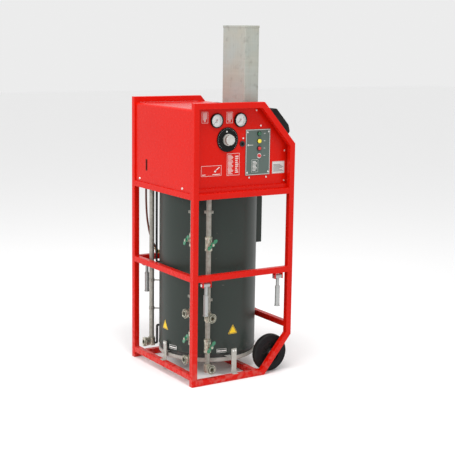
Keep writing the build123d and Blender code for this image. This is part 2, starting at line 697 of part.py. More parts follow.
hose_end = Vector(*HOSE_ROUTE[-1])
hose_way = (hose_end - Vector(*HOSE_ROUTE[-2])).normalized()
boss = hose_end + hose_way * 26
boss_way = Vector(BOILER_X - boss.X, BOILER_Y - boss.Y, 0)
with BuildPart() as top_ferrule:
    with Locations(HOSE_ROUTE[0]):
        Cylinder(10, CABINET_BOTTOM - HOSE_ROUTE[0][2], align=(MID, MID, MIN))
with BuildPart() as boiler_ferrule:
    with BuildSketch(Plane(origin=hose_end, z_dir=hose_way)):
        Circle(10)
    extrude(amount=26)
    with Locations(boss):
        Sphere(14)
    with BuildSketch(Plane(origin=boss, z_dir=boss_way)):
        Circle(11)
    extrude(amount=60)
    with Locations((BOILER_X, BOILER_Y, 600)):
        Cylinder(BOILER_R + 0.3, 400, mode=Mode.SUBTRACT)
save(group([top_ferrule.part, boiler_ferrule.part]), "hose_ferrules")

CONDUIT_X, CONDUIT_Y, CONDUIT_Z, CONDUIT_R = LEFT + 85, FRONT + 588, 636.0, 7.0
toward = Vector(BOILER_X - CONDUIT_X, BOILER_Y - CONDUIT_Y, 0)
conduit_share = (toward.length - BOILER_R - 1) / toward.length
conduit_end = Vector(CONDUIT_X, CONDUIT_Y, CONDUIT_Z) + toward * conduit_share
conduit_points = [
    (CONDUIT_X, CONDUIT_Y, CABINET_BOTTOM - 0.2),
    (CONDUIT_X, CONDUIT_Y, CONDUIT_Z),
    tuple(conduit_end),
]
save(tube_along(conduit_points, [11], CONDUIT_R), "sensor_conduit")

# A bent pipe feeds the boiler from the foot of the rear pipe.
FEED_R, FEED_OUT, FEED_LOW, FEED_HIGH = 7.0, 30.0, 116.0, 232.0
riser_foot = Vector(*REAR_RISER, 0)
feed_way = (Vector(BOILER_X, BOILER_Y, 0) - riser_foot).normalized()
feed_gap = (Vector(BOILER_X, BOILER_Y, 0) - riser_foot).length - BOILER_R
feed_points = [
    tuple(riser_foot + feed_way * (PIPE_R + 7.2) + Vector(0, 0, FEED_LOW)),
    tuple(riser_foot + feed_way * (FEED_OUT + 4) + Vector(0, 0, FEED_LOW)),
    tuple(riser_foot + feed_way * (FEED_OUT + 4) + Vector(0, 0, FEED_HIGH)),
    tuple(riser_foot + feed_way * (feed_gap - 1) + Vector(0, 0, FEED_HIGH)),
]
save(tube_along(feed_points, [8, 8], FEED_R), "feed_pipe")

# ---------------------------------------------------------------- folding carrying handles
CHEEK_IN, CHEEK_OUT, PIN_R = 23.0, 28.0, 5.0
BRACKET_DEPTH, BRACKET_LOW = 30.0, HANDLE_PIVOT_Z - 13
HANDLE_END, GRIP_TOP = 416.0, 540.0
pivots = [(x, y) for y in (FRONT + TUBE / 2, BACK - TUBE / 2) for x in HANDLE_X]


def handle_bracket(x, y):
    """The inverted U under a middle rail that holds a carrying handle."""
    with BuildPart() as bracket:
        for side in (-1, 1):
            near, far = sorted((x + side * CHEEK_IN, x + side * CHEEK_OUT))
            block((near, y - BRACKET_DEPTH / 2, BRACKET_LOW), (far, y + BRACKET_DEPTH / 2, MID_RAIL_Z))
        block((x - CHEEK_OUT, y - BRACKET_DEPTH / 2, MID_RAIL_Z - 4),
              (x + CHEEK_OUT, y + BRACKET_DEPTH / 2, MID_RAIL_Z))
        with Locations(Location((x, y, HANDLE_PIVOT_Z), (0, 90, 0))):
            Cylinder(PIN_R, 80, mode=Mode.SUBTRACT)
    return bracket.part


def handle_pin(x, y):
    """The headed pin through a bracket's cheeks, with its head on the left."""
    with BuildPart() as pin:
        with BuildSketch(Plane.YZ.offset(x - CHEEK_OUT)):
            with Locations((y, HANDLE_PIVOT_Z)):
                Circle(PIN_R)
        extrude(amount=2 * CHEEK_OUT + 3)
        with BuildSketch(Plane.YZ.offset(x - CHEEK_OUT)):
            with Locations((y, HANDLE_PIVOT_Z)):
                Circle(8)
        extrude(amount=-4)
    return pin.part


save(group(handle_bracket(*pivot) for pivot in pivots), "handle_brackets")
save(group(handle_pin(*pivot) for pivot in pivots), "handle_pins")

for name, (x, y) in zip(("front_left", "front_right", "rear_left", "rear_right"), pivots):
    with BuildPart() as carrying_handle:
        with Locations(Location((x, y, HANDLE_PIVOT_Z), (0, 90, 0))):
            Cylinder(13, 2 * CHEEK_IN - 2)
        for radius, low, high in ((10, GRIP_TOP, HANDLE_PIVOT_Z), (14.5, HANDLE_END + 9, GRIP_TOP)):
            with Locations((x, y, low)):
                Cylinder(radius, high - low, align=(MID, MID, MIN))
        with Locations((x, y, HANDLE_END)):
            Cone(17.4, 14.5, 9, align=(MID, MID, MIN))
        with Locations(Location((x, y, HANDLE_PIVOT_Z), (0, 90, 0))):
            Cylinder(PIN_R + 0.06, 80, mode=Mode.SUBTRACT)
    save(carrying_handle.part, f"{name}_carrying_handle")

# ---------------------------------------------------------------- wheels
RIM_R, HUB_R = 70.0, 24.0


def turned(profile_points, y, x=AXLE_X, z=AXLE_Z, round_outer=0):
    """A ring turned about an axis along Y: points are distances from the axis and along it, from y."""
    plane = Plane(origin=(x, y, z), x_dir=(1, 0, 0), z_dir=(0, 0, 1))
    with BuildPart() as ring:
        with BuildSketch(plane) as section:
            Polygon(*profile_points, align=None)
            if round_outer:
                outer = section.vertices().group_by(Axis.X)[-1]
                fillet(outer, radius=round_outer)
        revolve(axis=Axis((x, y, z), (0, 1, 0)))
    return ring.part


# Each wheel turns on a stub axle welded into the slanted tube, between a spacer and an end washer.
STUB = TUBE + 2 * WHEEL_GAP + WHEEL_W
WHEELS = {"front": FRONT + TUBE + WHEEL_GAP, "rear": BACK - TUBE - WHEEL_GAP - WHEEL_W}
stubs = [turned([(0, 0), (AXLE_R, 0), (AXLE_R, STUB), (0, STUB)], y) for y in (FRONT + 1, BACK - 1 - STUB)]
washer = [(AXLE_R, 0), (17, 0), (17, WHEEL_GAP - 1), (AXLE_R, WHEEL_GAP - 1)]
for start in WHEELS.values():
    for place in (start - WHEEL_GAP + 0.5, start + WHEEL_W + 0.5):
        stubs.append(turned(washer, place))
save(group(stubs), "stub_axles")

for name, start in WHEELS.items():
    tyre = [(RIM_R, 2), (RIM_R, WHEEL_W - 2), (WHEEL_R, WHEEL_W), (WHEEL_R, 0)]
    save(turned(tyre, start, round_outer=12), f"{name}_tyre")
    bore, middle = AXLE_R + 0.06, WHEEL_W / 2
    rim = [(bore, 0), (HUB_R, 0), (HUB_R + 4, middle - 5), (RIM_R - 8, middle - 5), (RIM_R - 6, 4),
           (RIM_R, 4), (RIM_R, WHEEL_W - 4), (RIM_R - 6, WHEEL_W - 4), (RIM_R - 8, middle + 5),
           (HUB_R + 4, middle + 5), (HUB_R, WHEEL_W), (bore, WHEEL_W)]
    save(turned(rim, start), f"{name}_rim")

# ---------------------------------------------------------------- control panel fittings
GAUGE_PROUD, CASE_DEEP = 12.0, 20.0


def round_piece(x, z, near, far, radius, hole=0.0):
    """A disc or ring that looks forward, from this far behind the panel's face to this far in front."""
    with BuildPart() as piece:
        with BuildSketch(upright(PANEL_Y - near)):
            with Locations((x, z)):
                Circle(radius)
                if hole:
                    Circle(hole, mode=Mode.SUBTRACT)
        extrude(amount=far - near)
    return piece.part


cases, dials, glasses = [], [], []
for x in GAUGE_X:
    with BuildPart() as case:
        add(round_piece(x, GAUGE_Z, 0, GAUGE_PROUD, GAUGE_R))
        add(round_piece(x, GAUGE_Z, -CASE_DEEP, 0, 36))
        fillet(case.edges().filter_by(GeomType.CIRCLE).sort_by(Axis.Y)[0], radius=3)
        add(round_piece(x, GAUGE_Z, 1.5, GAUGE_PROUD, 37), mode=Mode.SUBTRACT)
    cases.append(case.part)
    dials.append(round_piece(x, GAUGE_Z, 1.5, 3, 36.9))
    glasses.append(round_piece(x, GAUGE_Z, 8.5, 10.5, 36.9))
save(group(cases), "gauge_cases")
save(group(plates + dials), "printed_plates")
save(group(glasses), "gauge_glasses")

NEEDLE_REST = 135  # turn anticlockwise from upright: the needles rest at the lower left
for name, x in zip(("pressure", "temperature"), GAUGE_X):
    with BuildPart() as needle:
        with BuildSketch(upright(PANEL_Y - 4.2)):
            with Locations(Location((x, GAUGE_Z, 0), (0, 0, NEEDLE_REST))):
                Polygon((-1.6, -9), (1.6, -9), (0.5, 27), (-0.5, 27), align=None)
            with Locations((x, GAUGE_Z)):
                Circle(4)
        extrude(amount=1.6)
    save(needle.part, f"{name}_needle")

SHAFT_R = 8.0
save(round_piece(DIAL_X, DIAL_Z, 0, 5, DIAL_R, hole=SHAFT_R + 0.08), "dial_disc")

with BuildPart() as regulator_knob:
    add(round_piece(DIAL_X, DIAL_Z, -15, 9, SHAFT_R))
    add(round_piece(DIAL_X, DIAL_Z, 6, 14, 34))
    with BuildSketch(upright(PANEL_Y - 14)):
        with Locations((DIAL_X, DIAL_Z)):
            Circle(30)
            with PolarLocations(33, 12):
                Circle(5, mode=Mode.SUBTRACT)
    extrude(amount=24)
    fillet(regulator_knob.faces().sort_by(Axis.Y)[0].outer_wire().edges(), radius=2)
save(regulator_knob.part, "regulator_knob")

BUTTON_BORE, BUTTON_R = 11.2, 10.0
LAMP_Z = [1462 - LAMP_STEP * i for i in range(4)]
with BuildPart() as control_plate:
    with BuildSketch(upright(PANEL_Y)) as outline:
        with Locations((CONTROL_X, CONTROL_Z)):
            RectangleRounded(CONTROL_W, CONTROL_H, 3)
        for z in LAMP_Z:
            with Locations((LAMP_X, z)):
                Circle(BUTTON_BORE, mode=Mode.SUBTRACT)
    extrude(amount=PLATE_T)
save(control_plate.part, "control_plate")

bezels = [round_piece(LAMP_X, z, PLATE_T, PLATE_T + 4, 15, hole=BUTTON_R + 0.3) for z in LAMP_Z]
bezels.append(round_piece(SWITCH_X, SWITCH_Z, 0, 6, 17, hole=9.1))
save(group(bezels), "button_bezels")

lamps = []
for z in LAMP_Z[:2]:
    with BuildPart() as lamp:
        add(round_piece(LAMP_X, z, -6, PLATE_T + 4, BUTTON_R))
        add(round_piece(LAMP_X, z, PLATE_T + 4, PLATE_T + 11, 12.5))
        fillet(lamp.faces().sort_by(Axis.Y)[0].edges(), radius=5)
    lamps.append(lamp.part)
save(group(lamps), "indicator_lamps")

for name, z in zip(("start", "stop"), LAMP_Z[2:]):
    with BuildPart() as button:
        add(round_piece(LAMP_X, z, -6, PLATE_T + 10, BUTTON_R))
        fillet(button.faces().sort_by(Axis.Y)[0].edges(), radius=1.5)
    save(button.part, f"{name}_button")

with BuildPart() as key_switch:
    add(round_piece(SWITCH_X, SWITCH_Z, -12, 9, 9))
    block((SWITCH_X - 3, PANEL_Y - 16, SWITCH_Z - 8.5), (SWITCH_X + 3, PANEL_Y - 9, SWITCH_Z + 8.5))
save(key_switch.part, "key_switch")

# ---------------------------------------------------------------- machinery inside the cabinet
DECK = CABINET_BOTTOM + SHEET
PUMP_Y, PUMP_Z, DRIVE_R = FRONT + 560, DECK + 110, 12.0


def lengthwise(x, y, z, length, radius, hole=0.0):
    """A cylinder or tube along X from its left end."""
    with BuildPart() as piece:
        with BuildSketch(Plane(origin=(x, y, z), x_dir=(0, 1, 0), z_dir=(1, 0, 0))):
            Circle(radius)
            if hole:
                Circle(hole, mode=Mode.SUBTRACT)
        extrude(amount=length)
    return piece.part


with BuildPart() as pump_motor:
    add(lengthwise(LEFT + 60, PUMP_Y, PUMP_Z, 220, 78))
    fillet(pump_motor.edges().filter_by(GeomType.CIRCLE), radius=8)
    for x in (LEFT + 90, LEFT + 220):
        block((x, PUMP_Y - 70, DECK), (x + 30, PUMP_Y + 70, PUMP_Z - 40))
    block((LEFT + 120, PUMP_Y - 40, PUMP_Z + 70), (LEFT + 210, PUMP_Y + 40, PUMP_Z + 115))
    with Locations(Location((LEFT + 260, PUMP_Y, PUMP_Z), (0, 90, 0))):
        Cylinder(DRIVE_R + 0.06, 80, mode=Mode.SUBTRACT)
save(pump_motor.part, "pump_motor")

with BuildPart() as pump_block:
    block((LEFT + 330, PUMP_Y - 60, DECK), (LEFT + 430, PUMP_Y + 60, PUMP_Z + 60))
    fillet(pump_block.edges().filter_by(Axis.X), radius=8)
    block((LEFT + 430, PUMP_Y - 70, PUMP_Z - 50), (LEFT + 500, PUMP_Y + 70, PUMP_Z + 20))
    with Locations(Location((LEFT + 350, PUMP_Y, PUMP_Z), (0, 90, 0))):
        Cylinder(DRIVE_R + 0.06, 80, mode=Mode.SUBTRACT)
save(pump_block.part, "pump_block")

with BuildPart() as drive_shaft:
    add(lengthwise(LEFT + 225, PUMP_Y, PUMP_Z, 160, DRIVE_R))
    add(lengthwise(LEFT + 285, PUMP_Y, PUMP_Z, 40, 30))
save(drive_shaft.part, "drive_shaft")

FAN_Z, FAN_R, BLOWER_R, BLOWER_W = DECK + 120, 66.0, 84.0, 64.0
blower_front = BURNER_Y + BLOWER_W / 2


def fan_ring(near, far, radius, hole=0.0):
    """A disc or ring about the blower's axis, between two distances forward from the blower's back."""
    with BuildPart() as piece:
        with BuildSketch(upright(blower_front - near)):
            with Locations((BURNER_X, FAN_Z)):
                Circle(radius)
                if hole:
                    Circle(hole, mode=Mode.SUBTRACT)
        extrude(amount=far - near)
    return piece.part


with BuildPart() as burner:
    add(fan_ring(0, BLOWER_W, BLOWER_R))
    add(fan_ring(3, BLOWER_W - 3, BLOWER_R - 4), mode=Mode.SUBTRACT)
    add(fan_ring(-1, 4, 11), mode=Mode.SUBTRACT)
    add(fan_ring(BLOWER_W - 4, BLOWER_W + 1, 40), mode=Mode.SUBTRACT)
    block((BURNER_X - 76, BURNER_Y - 60, DECK), (BURNER_X + 76, BURNER_Y + 60, DECK + 8))
    with Locations((BURNER_X, BURNER_Y, DECK - 110)):
        Cylinder(BURNER_R, 118, align=(MID, MID, MIN))
        Cylinder(BURNER_R - 3, 118, align=(MID, MID, MIN), mode=Mode.SUBTRACT)
    throat = FAN_Z - BLOWER_R + 6
    block((BURNER_X - 64, BURNER_Y - 28, DECK + 4), (BURNER_X + 64, BURNER_Y + 28, throat))
    block((BURNER_X - 40, BURNER_Y - 22, DECK), (BURNER_X + 40, BURNER_Y + 22, throat), mode=Mode.SUBTRACT)
    with Locations(Location((BURNER_X, BURNER_Y, FAN_Z), (90, 0, 0))):
        Cylinder(BLOWER_R - 4, BLOWER_W - 6, mode=Mode.SUBTRACT)
with BuildPart() as burner_motor:
    add(fan_ring(-110, 0, 46))
    fillet(burner_motor.edges().filter_by(GeomType.CIRCLE).sort_by(Axis.Y)[-1], radius=8)
    add(fan_ring(-60, 1, 8.06), mode=Mode.SUBTRACT)
save(group([burner.part, burner_motor.part]), "burner")

with BuildPart() as burner_fan:
    add(fan_ring(-50, BLOWER_W - 12, 8))
    add(fan_ring(8, 11, FAN_R))
    with BuildSketch(upright(blower_front - 11)):
        with Locations((BURNER_X, FAN_Z)):
            with PolarLocations(54, 20):
                Rectangle(22, 2.4, rotation=25)
    extrude(amount=38)
    add(fan_ring(45, 49, FAN_R, hole=42))
save(burner_fan.part, "burner_fan")
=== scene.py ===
"""Looks of a mobile hot-water pressure washer: its finishes, its small fittings, the studio and the camera.

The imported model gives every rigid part. This script dresses those parts and adds what a maker would add last:
weld beads, seams, printed scales, treads, seals and clips. Metres, +Z up, the control panel looks along -Y.
"""

import logging
import math
from dataclasses import dataclass, field
from enum import Enum
from typing import Any, Callable, ClassVar, Iterable, Sequence

import bpy
from mathutils import Matrix, Vector


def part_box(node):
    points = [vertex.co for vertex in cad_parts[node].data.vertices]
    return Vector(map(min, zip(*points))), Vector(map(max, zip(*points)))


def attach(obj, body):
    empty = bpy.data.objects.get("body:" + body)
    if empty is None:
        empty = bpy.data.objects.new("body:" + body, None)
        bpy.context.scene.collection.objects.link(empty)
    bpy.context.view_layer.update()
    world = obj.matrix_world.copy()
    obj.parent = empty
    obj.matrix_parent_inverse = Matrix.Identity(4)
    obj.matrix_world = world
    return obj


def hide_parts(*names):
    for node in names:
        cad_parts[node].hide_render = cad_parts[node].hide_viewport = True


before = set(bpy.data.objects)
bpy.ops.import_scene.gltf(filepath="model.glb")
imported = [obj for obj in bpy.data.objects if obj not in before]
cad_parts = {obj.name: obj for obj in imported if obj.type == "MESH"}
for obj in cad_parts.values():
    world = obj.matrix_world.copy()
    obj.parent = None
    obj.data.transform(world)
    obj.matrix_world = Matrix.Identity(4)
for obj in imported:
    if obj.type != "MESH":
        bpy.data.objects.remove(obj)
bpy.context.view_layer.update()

log = logging.getLogger("washer")

MM = 0.001
ROOT = "frame"
FORWARD, BACK, UP = Vector((0.0, -1.0, 0.0)), Vector((0.0, 1.0, 0.0)), Vector((0.0, 0.0, 1.0))
Colour = tuple[float, float, float]
Point = Sequence[float]
Piece = bpy.types.Object
NEAR_BLACK: Colour = (0.02, 0.02, 0.02)


# ---------------------------------------------------------------- shader maths
class Value:
    """A number that varies over a surface, with arithmetic that adds Math nodes."""

    def __init__(self, shader: "Shader", socket: bpy.types.NodeSocket) -> None:
        """Hold one output socket of a shader's tree.

        Args:
            shader: the shader that the socket belongs to.
            socket: the output that gives the number.
        """
        self.shader = shader
        self.socket = socket

    def _math(self, operation: str, first: "Number", second: "Number" = 0.0) -> "Value":
        """Add one Math node.

        Args:
            operation: the Math node's operation.
            first: its first input.
            second: its second input.

        Returns:
            The node's result.
        """
        node = self.shader.node("ShaderNodeMath", {"operation": operation}, {0: first, 1: second})
        return Value(self.shader, node.outputs[0])

    def __add__(self, other: "Number") -> "Value":
        """Sum."""
        return self._math("ADD", self, other)

    __radd__ = __add__

    def __mul__(self, other: "Number") -> "Value":
        """Product."""
        return self._math("MULTIPLY", self, other)

    def __sub__(self, other: "Number") -> "Value":
        """Difference."""
        return self._math("SUBTRACT", self, other)

    def __rsub__(self, other: "Number") -> "Value":
        """Difference from a plain number."""
        return self._math("SUBTRACT", other, self)

    def __truediv__(self, other: "Number") -> "Value":
        """Quotient."""
        return self._math("DIVIDE", self, other)

    def __pow__(self, other: "Number") -> "Value":
        """Power."""
        return self._math("POWER", self, other)

    def sine(self) -> "Value":
        """Sine of an angle in radians."""
        return self._math("SINE", self)

    def held(self) -> "Value":
        """Clamped to the range from 0 to 1."""
        node = self.shader.node("ShaderNodeClamp", {}, {0: self})
        return Value(self.shader, node.outputs[0])

    def above(self, edge: float, soft: float) -> "Value":
        """0 below an edge and 1 above it, over a soft width."""
        return ((self - (edge - soft / 2)) / soft).held()

    def between(self, low: float, high: float, soft: float = 0.0004) -> "Value":
        """1 between two edges and 0 outside them."""
        return self.above(low, soft) * (1 - self.above(high, soft))


Number = float | Value


class Shader:
    """One material being built round a single Principled shader."""

    def __init__(self, name: str) -> None:
        """Start a material with nothing but its surface.

        Args:
            name: the material's name.
        """
        self.material = bpy.data.materials.new(name)
        self.material.use_nodes = True
        self.tree = self.material.node_tree
        self.surface = self.tree.nodes["Principled BSDF"]

    def node(self, kind: str, settings: dict[str, Any], inputs: dict[Any, Any]) -> bpy.types.Node:
        """Add any node.

        Args:
            kind: the node's type.
            settings: its properties, which are set first.
            inputs: socket name or number, with a value, a link or a Value.

        Returns:
            The new node.
        """
        new = self.tree.nodes.new(kind)
        for key, setting in settings.items():
            setattr(new, key, setting)
        for key, given in inputs.items():
            self.feed(new.inputs[key], given)
        return new

    def feed(self, socket: bpy.types.NodeSocket, given: Any) -> None:
        """Set a socket, or link it.

        Args:
            socket: the input to be filled.
            given: a number or colour to set, or a Value or another socket to link.
        """
        if isinstance(given, Value):
            given = given.socket
        if isinstance(given, bpy.types.NodeSocket):
            self.tree.links.new(given, socket)
        elif isinstance(given, tuple) and socket.type == "RGBA":
            socket.default_value = (*given[:3], 1.0)
        else:
            socket.default_value = given

    def set(self, **given: Any) -> None:
        """Set sockets of the surface, with _ for each space in a socket's name."""
        for key, what in given.items():
            self.feed(self.surface.inputs[key.replace("_", " ")], what)

    def place(self) -> bpy.types.NodeSocket:
        """The point on the surface, in the object's own frame."""
        return self.node("ShaderNodeTexCoord", {}, {}).outputs["Object"]

    def axes(self) -> tuple[Value, Value, Value]:
        """The point's X, Y and Z."""
        parts = self.node("ShaderNodeSeparateXYZ", {}, {0: self.place()})
        return tuple(Value(self, out) for out in parts.outputs)

    def stretched(self, scale: Point) -> bpy.types.NodeSocket:
        """The point with each axis multiplied, for a pattern with a grain."""
        return self.node("ShaderNodeMapping", {}, {"Vector": self.place(), "Scale": tuple(scale)}).outputs[0]

    def noise(self, scale: float, detail: float = 3.0, grain: Point = (1, 1, 1)) -> Value:
        """Soft random blotches from 0 to 1.

        Args:
            scale: how many blotches fit in a metre.
            detail: how many finer layers are added.
            grain: each axis's share of the scale.

        Returns:
            The pattern's value.
        """
        where = self.stretched(grain)
        made = self.node("ShaderNodeTexNoise", {}, {"Vector": where, "Scale": scale, "Detail": detail})
        return Value(self, made.outputs[0])

    def mix(self, share: Number, first: Any, second: Any) -> bpy.types.NodeSocket:
        """Blend two colours; share 0 is the first and 1 is the second."""
        made = self.node("ShaderNodeMix", {"data_type": "RGBA"}, {0: share, 6: first, 7: second})
        return made.outputs[2]

    def bump(self, height: Value, distance: float, strength: float = 1.0) -> None:
        """Raise the surface by a pattern; distance is the relief in metres."""
        inputs = {"Height": height, "Distance": distance, "Strength": strength}
        self.set(Normal=self.node("ShaderNodeBump", {}, inputs).outputs[0])


# ---------------------------------------------------------------- finishes
@dataclass(frozen=True)
class Finish:
    """A surface treatment, made once and shared by all that wear it."""

    name: str
    made: ClassVar[dict[str, bpy.types.Material]] = {}

    def material(self) -> bpy.types.Material:
        """Build the material the first time it is asked for.

        Returns:
            The finished material.
        """
        if self.name not in Finish.made:
            shader = Shader(self.name)
            self.paint(shader)
            Finish.made[self.name] = shader.material
        return Finish.made[self.name]

    def paint(self, shader: Shader) -> None:
        """Build the shader; each kind of finish has its own."""
        raise NotImplementedError


@dataclass(frozen=True)
class Enamel(Finish):
    """Sprayed paint on steel: slight orange peel, faint clouding, dust and scuffs near the floor."""

    colour: Colour = (0.7, 0.02, 0.01)
    faded: Colour = (0.8, 0.04, 0.02)
    roughness: float = 0.28
    coat: float = 0.35
    peel: float = 0.00006
    metallic: float = 0.0
    shine: float = 0.5
    dust: Colour = (0.42, 0.36, 0.31)
    dust_height: float = 0.22
    cloud_scale: float = 2.6
    fine_scale: float = 38.0
    peel_scale: float = 420.0

    def paint(self, shader: Shader) -> None:
        """Cloud the colour, scatter a little dust low down and add the peel.

        Args:
            shader: the shader to build on.
        """
        cloud, fine = shader.noise(self.cloud_scale), shader.noise(self.fine_scale, 4)
        peel = shader.noise(self.peel_scale, 1)
        low = (1 - shader.axes()[2] / self.dust_height).held()
        grime = (low * fine.above(0.56, 0.2) * 0.2 + fine.above(0.74, 0.05) * 0.1).held()
        tint = shader.mix(cloud, self.colour, self.faded)
        rough = self.roughness + fine * 0.06 + grime * 0.5
        shader.set(Base_Color=shader.mix(grime, tint, self.dust), Roughness=rough)
        shader.set(Metallic=self.metallic, Coat_Weight=self.coat, Coat_Roughness=0.12)
        shader.set(Specular_IOR_Level=self.shine)
        shader.bump(peel + fine * 0.4, self.peel)


@dataclass(frozen=True)
class RolledSheet(Finish):
    """Bare sheet metal with a rolling grain, heat stains and finger marks."""

    colour: Colour = (0.35, 0.385, 0.36)
    warm: Colour = (0.37, 0.36, 0.30)
    stain: Colour = (0.19, 0.19, 0.165)
    grain: tuple[float, float, float] = (1.0, 1.0, 0.02)
    pale: Colour = (0.58, 0.58, 0.54)
    metallic: float = 0.2
    roughness: float = 0.45

    def paint(self, shader: Shader) -> None:
        """Streaks along the grain, warm blotches, dull spots and faint rolling bands.

        Args:
            shader: the shader to build on.
        """
        streak, blotch = shader.noise(240, 2, self.grain), shader.noise(7, 5)
        band = shader.noise(3, 3, (0.3, 0.3, 16))
        spot = shader.noise(22, 3)
        stained = (spot.above(0.63, 0.12) * 0.45 + streak.above(0.6, 0.3) * 0.18).held()
        tint = shader.mix(blotch.above(0.5, 0.35) * 0.8, self.colour, self.warm)
        tint = shader.mix(stained, tint, self.stain)
        tint = shader.mix(band.above(0.56, 0.1) * 0.08, tint, self.pale)
        shader.set(Base_Color=tint, Metallic=self.metallic)
        shader.set(Roughness=self.roughness + streak * 0.12 + blotch * 0.12)
        shader.bump(streak + band * 0.3, 0.00006)


@dataclass(frozen=True)
class PlatedMetal(Finish):
    """Nickel or zinc plating on turned and cast fittings, dulled by water marks."""

    colour: Colour = (0.62, 0.61, 0.57)
    dull: Colour = (0.36, 0.35, 0.30)
    roughness: float = 0.26
    metallic: float = 0.95
    grain: float = 500.0

    def paint(self, shader: Shader) -> None:
        """Dull blotches, water spots and a fine grain.

        Args:
            shader: the shader to build on.
        """
        blotch, spot, grain = shader.noise(45, 4), shader.noise(160, 2), shader.noise(self.grain, 2)
        worn = (blotch.above(0.52, 0.25) * 0.7 + spot.above(0.66, 0.06) * 0.4).held()
        shader.set(Base_Color=shader.mix(worn, self.colour, self.dull), Metallic=self.metallic)
        shader.set(Roughness=self.roughness + worn * 0.25 + grain * 0.06)
        shader.bump(grain + blotch * 0.8, 0.00009)


@dataclass(frozen=True)
class Moulded(Finish):
    """Moulded plastic or rubber with a fine spark-eroded grain and pale dust in it."""

    colour: Colour = (0.008, 0.008, 0.008)
    bloom: Colour = (0.028, 0.028, 0.026)
    roughness: float = 0.5
    grain: float = 900.0
    relief: float = 0.00012
    shine: float = 0.16

    def paint(self, shader: Shader) -> None:
        """A grain in the relief and a dusty bloom in the colour.

        Args:
            shader: the shader to build on.
        """
        grain, bloom = shader.noise(self.grain, 2), shader.noise(14, 4)
        shader.set(Base_Color=shader.mix(bloom.above(0.55, 0.4) * 0.6, self.colour, self.bloom))
        shader.set(Roughness=self.roughness + bloom * 0.15, Specular_IOR_Level=self.shine)
        shader.bump(grain, self.relief)


@dataclass(frozen=True)
class Glossy(Finish):
    """Clear gloss over a colour that changes at set heights, for lamps, buttons and dial faces."""

    colour: Colour = (0.6, 0.03, 0.02)
    upper: Colour | None = None
    split: float = 0.0
    roughness: float = 0.18
    glow: float = 0.0
    ribs: float = 0.0

    def paint(self, shader: Shader) -> None:
        """One colour below the split and another above, with moulded ribs in a lens.

        Args:
            shader: the shader to build on.
        """
        cloud, height = shader.noise(90, 2), shader.axes()[2]
        base = self.colour
        if self.upper:
            base = shader.mix(height.above(self.split, 0.001), self.colour, self.upper)
        shader.set(Base_Color=shader.mix(cloud * 0.12, base, NEAR_BLACK), Coat_Weight=0.5)
        shader.set(Roughness=self.roughness + cloud * 0.06)
        if self.glow:
            shader.set(Emission_Color=base, Emission_Strength=self.glow)
        wave = ((height * self.ribs).sine() + 1) if self.ribs else cloud
        shader.bump(wave, 0.0003 if self.ribs else 0.00004)


@dataclass(frozen=True)
class Bezels(Finish):
    """Black bezels, with a chromed one round the lowest button."""

    chrome_below: float = 1.35
    chrome: Colour = (0.82, 0.82, 0.80)

    def paint(self, shader: Shader) -> None:
        """Switch from black to chrome by height.

        Args:
            shader: the shader to build on.
        """
        grain, height = shader.noise(700, 2), shader.axes()[2]
        black = height.above(self.chrome_below, 0.001)
        shader.set(Base_Color=shader.mix(black, self.chrome, NEAR_BLACK))
        shader.set(Metallic=1 - black, Roughness=0.14 + black * 0.24 + grain * 0.05)
        shader.bump(grain, 0.00004)


@dataclass(frozen=True)
class PlateStock(Finish):
    """The printed plates' stock: red film and foil on the panel, yellow and black plates on the boiler."""

    panel_red: Colour = (0.60, 0.008, 0.003)
    control_grey: Colour = (0.085, 0.118, 0.105)
    foil: Colour = (0.62, 0.63, 0.62)
    dial: Colour = (0.80, 0.81, 0.79)
    yellow: Colour = (0.86, 0.56, 0.02)
    black: Colour = (0.026, 0.036, 0.030)
    control_x: tuple[float, float] = (0.06, 0.125)
    foil_x: float = 0.20
    dial_z: float = 1.505
    dial_x: tuple[float, float, float, float] = (-0.212, -0.136, -0.052, 0.026)
    boiler_z: float = 0.7
    black_z: float = 0.2
    crease: Colour = (0.4, 0.38, 0.35)

    def paint(self, shader: Shader) -> None:
        """Pick each plate's stock by where the plate is.

        Args:
            shader: the shader to build on.
        """
        x, _, z = shader.axes()
        cloud, crease = shader.noise(30, 4), shader.noise(150, 3)
        on_dial = x.between(*self.dial_x[:2]) + x.between(*self.dial_x[2:])
        on_dial = on_dial.held() * z.above(self.dial_z, 0.001)
        boiler = 1 - z.above(self.boiler_z, 0.1)
        tint = shader.mix(x.between(*self.control_x), self.panel_red, self.control_grey)
        tint = shader.mix(x.above(self.foil_x, 0.001), tint, self.foil)
        tint = shader.mix(on_dial, tint, self.dial)
        tint = shader.mix(boiler, tint, self.yellow)
        tint = shader.mix(boiler * (1 - z.above(self.black_z, 0.01)), tint, self.black)
        tint = shader.mix(crease.above(0.62, 0.2) * 0.10, tint, self.crease)
        shader.set(Base_Color=tint, Roughness=0.32 + cloud * 0.15, Specular_IOR_Level=0.16)
        shader.bump(cloud + crease * 0.3, 0.00005)


@dataclass(frozen=True)
class ClearGlass(Finish):
    """Thin flat glass over a gauge, mostly see-through, with a faint smear."""

    clean: Colour = (0.95, 0.97, 0.97)
    smeared: Colour = (0.8, 0.82, 0.82)

    def paint(self, shader: Shader) -> None:
        """Nearly clear, glossy, with smears in the gloss.

        Args:
            shader: the shader to build on.
        """
        smear = shader.noise(40, 3)
        shader.set(Base_Color=shader.mix(smear * 0.1, self.clean, self.smeared))
        shader.set(Roughness=0.03 + smear * 0.06, Alpha=0.10 + smear * 0.06, Specular_IOR_Level=0.6)


